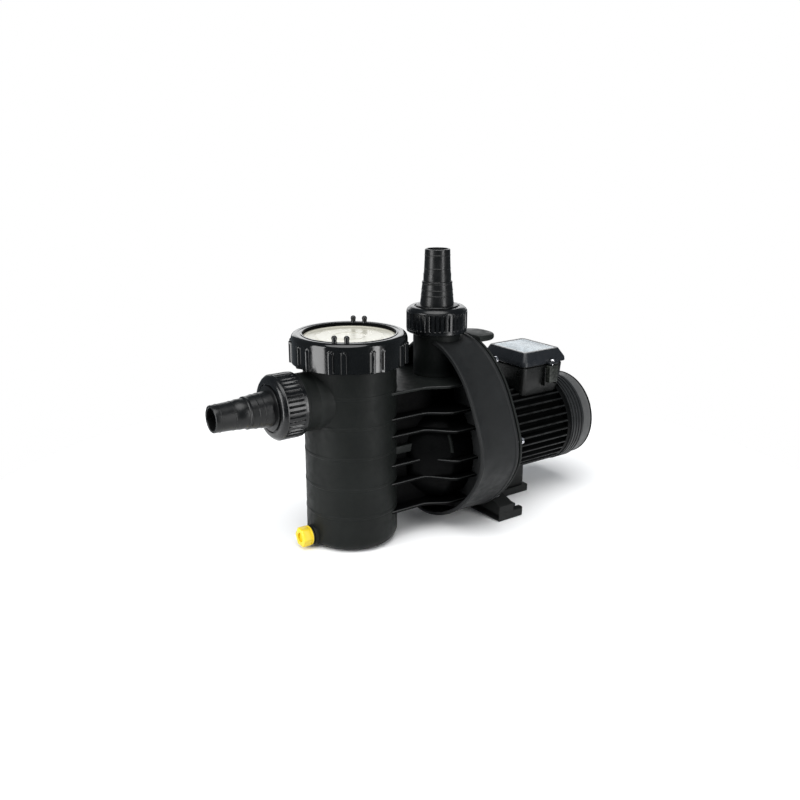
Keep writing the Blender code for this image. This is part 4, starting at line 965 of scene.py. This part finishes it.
def rounded_rectangle(x0, x1, half, r):
    corners = ((x1 - r, half - r, 0), (x0 + r, half - r, 90), (x0 + r, -half + r, 180), (x1 - r,
        -half + r, 270))
    return [polar(a + k, r, (x, y)) for x, y, a in corners for k in range(0, 91, 15)]


def box_lid():
    x0, x1, half = LOW["terminal_box_lid"].x, HIGH["terminal_box_lid"].x, 0.0438
    low, top = BOX_JOINT + 0.0006, HIGH["terminal_box_lid"].z
    label = LOW["label_plate"].x, HIGH["label_plate"].x, HIGH["label_plate"].y
    lid = lofted("box_lid_shell", [(x0 + 0.0006, x1 - 0.0006, half - 0.0006, 0.007, low), (x0, x1, half,
        0.0075, low + 0.0008), (x0 + 0.0004, x1 - 0.0004, half - 0.0004, 0.0075, low + 0.005), (x0
        + 0.001, x1 - 0.0014, half - 0.001, 0.007, low + 0.0066), (0.2528, 0.3196, 0.038, 0.006,
        top - 0.0018), (0.2534, 0.3188, 0.0373, 0.0052, top - 0.0007), (0.2542, 0.318, 0.0366, 0.0046,
        top)])
    boolean(lid, "DIFFERENCE",
        block("lid_room", (x0 + 0.01, -0.033, 0.185), (x1 - 0.014, 0.033, top - 0.003), 0.0),
        slab(
        "lid_label_cut", [rounded_rectangle(label[0] - 0.0004, label[1] + 0.0004, label[2] + 0.0004,
        0.003)], top - 0.0009, top + 0.01, edge=0.0001))
    dress(lid, "box_black", "terminal_box_lid")
    for i, ((x, y), side) in enumerate(zip(SCREW_AT, SCREW_SIDES)):
        ear = block(f"lid_ear_{i + 1}", (x - 0.008, y - side * 0.012, low), (x + 0.008,
            y + side * 0.0043, BOX_JOINT + 0.004), 0.0014)
        boolean(ear, "DIFFERENCE", rod(f"ear_hole_{i}", 0.0021, 0.185, 0.21, "Z", (x, y, 0), 24))
        dress(ear, "box_black", "terminal_box_lid", False)
    border = slab("label_sheet", [rounded_rectangle(*label, 0.0028)], top - 0.0007, top - 0.0001,
        edge=0.0002)
    dress(border, "label_border", "label_plate")
    print_area = slab(
        "label_field", [rounded_rectangle(label[0] + 0.0022, label[1] - 0.0022, label[2] - 0.0022,
        0.0015)], top - 0.0003, top, edge=0.00005)
    dress(print_area, "label_film", "label_plate", False)
    for i, (x, y) in enumerate(SCREW_AT):
        pan_screw(f"box_screw_{i + 1}", x, y)


def pan_screw(node, x, y):
    """Pan-head screw with a cross recess."""
    top = HIGH[node].z
    seat = top - 0.003
    head = lathe(f"{node}_head", [(0.0, top), (0.0012, top - 0.0001), (0.0022, top - 0.0005), (0.003,
        top - 0.0011), (0.0036, top - 0.002), (0.0038, seat + 0.0004), (0.0036, seat), (0.0015,
        seat), (0.0015, LOW[node].z + 0.001), (0.0, LOW[node].z)], "Z", (x, y, 0), 48)
    boolean(head, "DIFFERENCE",
        block("cross_a", (x - 0.0019, y - 0.0004, top - 0.0014), (x + 0.0019, y + 0.0004, top + 0.01),
        0.0),
        block("cross_b", (x - 0.0004, y - 0.0019, top - 0.0014), (x + 0.0004, y + 0.0019, top + 0.01),
        0.0))
    dress(head, "steel", node)


def cable_gland():
    y, z = MID["cable_gland"].y, MID["cable_gland"].z
    at = (0, y, z)
    wall = 0.3238
    body = lathe("gland_body",
        fillet([(0.0062, wall + 0.0088), (0.0062, wall + 0.0026), (0.006, wall + 0.0026), (0.006,
        wall - 0.013), (0.0035, wall - 0.013), (0.0035, wall + 0.0088)], 0.0003), "X", at, 48)
    dress(body, "satin_black", "cable_gland")
    collar = hexagon("gland_hex", 0.0089, 0.0029, (wall + 0.00155, y, z), 0.0004)
    boolean(collar, "DIFFERENCE", rod("gland_hex_hole", 0.0061, 0.3, 0.35, "X", at, 48))
    dress(collar, "satin_black", "cable_gland", False)

    def flutes(turn, radius, height):
        return radius - 0.0005 * smoothstep(1.0 - abs((turn / 30.0) % 1.0 - 0.5)
            / 0.25) if radius > 0.008 else radius

    nut = lathe(
        "gland_cap_nut", [(0.0038, wall + 0.0112), (0.0052, wall + 0.0115), (0.0066,
        wall + 0.0108), (0.0078, wall + 0.0094), (0.0085, wall + 0.008), (0.0085,
        wall + 0.006), (0.0085, wall + 0.0037), (0.0079, wall + 0.0033), (0.0066,
        wall + 0.0033), (0.0066, wall + 0.0092), (0.0038, wall + 0.0092)], "X", at, 144, flutes)
    dress(nut, "satin_black", "gland_nut")


# ---------------------------------------------------------------- foot
def foot():
    x0, x1 = LOW["foot"].x, 0.2225
    half, inner, step = HIGH["foot"].y, 0.052, LOW["foot"].x + 0.0255
    slot_y, slot_half, slot_x = 0.0665, 0.0035, x1 - 0.011
    end, narrow = HIGH["foot"].x, 0.021
    slot_end = [polar(a, slot_half, (slot_x + slot_half, slot_y)) for a in range(90, 271, 30)]
    tip = [polar(a, 0.006, (x1 - 0.006, half - 0.006)) for a in range(90, -1, -15)]
    side = [(x0, half), *tip, (x1, slot_y + slot_half),
        *slot_end, (x1, slot_y - slot_half), (x1, inner + 0.002), (x1 - 0.002, inner), (step,
        inner), (step, narrow), (end, narrow)]
    base = slab("foot_base", [side + [(x, -y) for x, y in reversed(side)]], 0.0, 0.011, edge=0.0012)
    dress(base, "foot_black", "foot")
    beam = slab(
        "foot_beam", [[(-half + 0.0004, 0.002), (half - 0.0004, 0.002), (half - 0.0004, 0.021), (inner,
        0.031), (-inner, 0.031), (-half + 0.0004, 0.021)]], x0, step, "YZ", 0.0012)
    column = block("foot_column", (step - 0.004, -narrow + 0.004, 0.009), (end - 0.005, narrow - 0.004,
        0.06), 0.0015)
    for piece in (beam, column):
        room = lathe(
            "motor_room", [(0.0, 0.35), (FIN_TIP + 0.0006, 0.35), (FIN_TIP + 0.0006, 0.206), (0.0726,
            0.19), (0.0726, 0.15), (0.0, 0.15)], "X", AXIS, 96)
        boolean(piece, "DIFFERENCE", room)
        dress(piece, "foot_black", "foot", False)


# ---------------------------------------------------------------- what stays as the CAD made it
KEPT = {"diffuser": "impeller_plastic", "impeller": "impeller_plastic", "seal_seat": "ceramic",
    "seal_face": "carbon", "shaft": "steel", "stator_core": "lamination", "rotor_core": "lamination",
    "winding_front": "copper_winding", "winding_rear": "copper_winding", "front_bearing": "steel",
    "rear_bearing": "steel", "terminal_block": "cream_plastic", "run_capacitor": "capacitor_grey",}


def dress_kept_nodes():
    for node, finish in KEPT.items():
        mesh = frame["nodes"][node].data
        mesh.materials.clear()
        mesh.materials.append(FINISH[finish])


# ---------------------------------------------------------------- stage, light and camera
def stage():
    """Round white table in a dark studio; the room behind it is seen as white."""
    table = lathe("table_top", [(0.0, 0.0), (0.62, 0.0), (0.62, -0.01), (0.0, -0.01)], steps=96)
    pale = bpy.data.materials.new("pale_floor")
    pale.use_nodes = True
    shader = pale.node_tree.nodes["Principled BSDF"]
    shader.inputs["Base Color"].default_value = (0.95, 0.95, 0.95, 1.0)
    shader.inputs["Roughness"].default_value = 0.9
    shader.inputs["Specular IOR Level"].default_value = 0.1
    table.data.materials.append(pale)
    table.location = (0.09, 0.0, -0.0002)

    world = bpy.data.worlds.new("studio")
    bpy.context.scene.world = world
    world.use_nodes = True
    nodes, links = world.node_tree.nodes, world.node_tree.links
    background = nodes["Background"]
    background.inputs["Color"].default_value = (0.8, 0.9, 1.0, 1.0)
    background.inputs["Strength"].default_value = 0.16
    white = nodes.new("ShaderNodeBackground")
    white.inputs["Strength"].default_value = 1.0
    white.inputs["Color"].default_value = (1.0, 1.0, 1.0, 1.0)
    choose, ray = nodes.new("ShaderNodeMixShader"), nodes.new("ShaderNodeLightPath")
    links.new(ray.outputs["Is Camera Ray"], choose.inputs["Fac"])
    links.new(background.outputs["Background"], choose.inputs[1])
    links.new(white.outputs["Background"], choose.inputs[2])
    links.new(choose.outputs["Shader"], nodes["World Output"].inputs["Surface"])


def sky(strength, spread, toward):
    """Broad soft light from one direction, the same over the whole table."""
    light = bpy.data.lights.new("broad_light", "SUN")
    light.energy = strength
    light.angle = math.radians(spread)
    lamp = bpy.data.objects.new("broad_light", light)
    lamp.rotation_euler = (-Vector(toward)).to_track_quat("-Z", "Y").to_euler()
    bpy.context.scene.collection.objects.link(lamp)


def softbox(name, azimuth, distance, height, width, tall, power):
    """Upright softbox round the table, turned to the pump."""
    light = bpy.data.lights.new(name, "AREA")
    light.shape = "RECTANGLE"
    light.size, light.size_y = width, tall
    light.energy = power
    lamp = bpy.data.objects.new(name, light)
    turn = math.radians(azimuth)
    lamp.location = (distance * math.sin(turn), -distance * math.cos(turn), height)
    toward = Vector((0.0, 0.0, height)) - lamp.location
    lamp.rotation_euler = toward.to_track_quat("-Z", "Y").to_euler()
    lamp.visible_camera = False
    bpy.context.scene.collection.objects.link(lamp)


def camera():
    azimuth, elevation, distance = math.radians(-35.1), math.radians(16.7), 1.1299
    target = Vector((0.0746, 0.0, 0.1672))
    back = Vector((math.sin(azimuth) * math.cos(elevation), -math.cos(azimuth) * math.cos(elevation),
        math.sin(elevation)))
    data = bpy.data.cameras.new("camera")
    data.sensor_width = 36.0
    data.lens = 39.77
    data.clip_start = 0.01
    eye = bpy.data.objects.new("camera", data)
    eye.location = target + back * distance
    eye.rotation_euler = (-back).to_track_quat("-Z", "Y").to_euler()
    bpy.context.scene.collection.objects.link(eye)
    bpy.context.scene.camera = eye


def main():
    camera()
    stage()
    sky(3.1, 55.0, (-0.25, -0.25, 1.0))
    softbox("left_softbox", -93.0, 0.95, 0.25, 0.45, 1.1, 12.0)
    softbox("right_softbox", 20.6, 1.0, 0.25, 0.22, 1.1, 7.0)
    softbox("rear_softbox", 144.9, 1.2, 0.55, 1.3, 0.5, 3.6)
    pot()
    suction_neck()
    drain_boss()
    drum()
    riser()
    web()
    seal_plate()
    casing_bolts()
    lid_ring()
    clear_lid()
    o_ring("lid_seal_ring", "lid_o_ring", 0.0556, 0.0016, "Z", (0, 0, 0.2485))
    basket()
    pipe_union("inlet", "-X", (INLET_FACE, 0.0, INLET_Z))
    pipe_union("outlet", "Z", (OUTLET_X, 0.0, OUTLET_FACE))
    drain()
    barrel()
    end_shields()
    cowl()
    fan()
    box_base()
    box_lid()
    cable_gland()
    foot()
    dress_kept_nodes()
    bpy.context.scene.view_settings.view_transform = "Standard"


main()
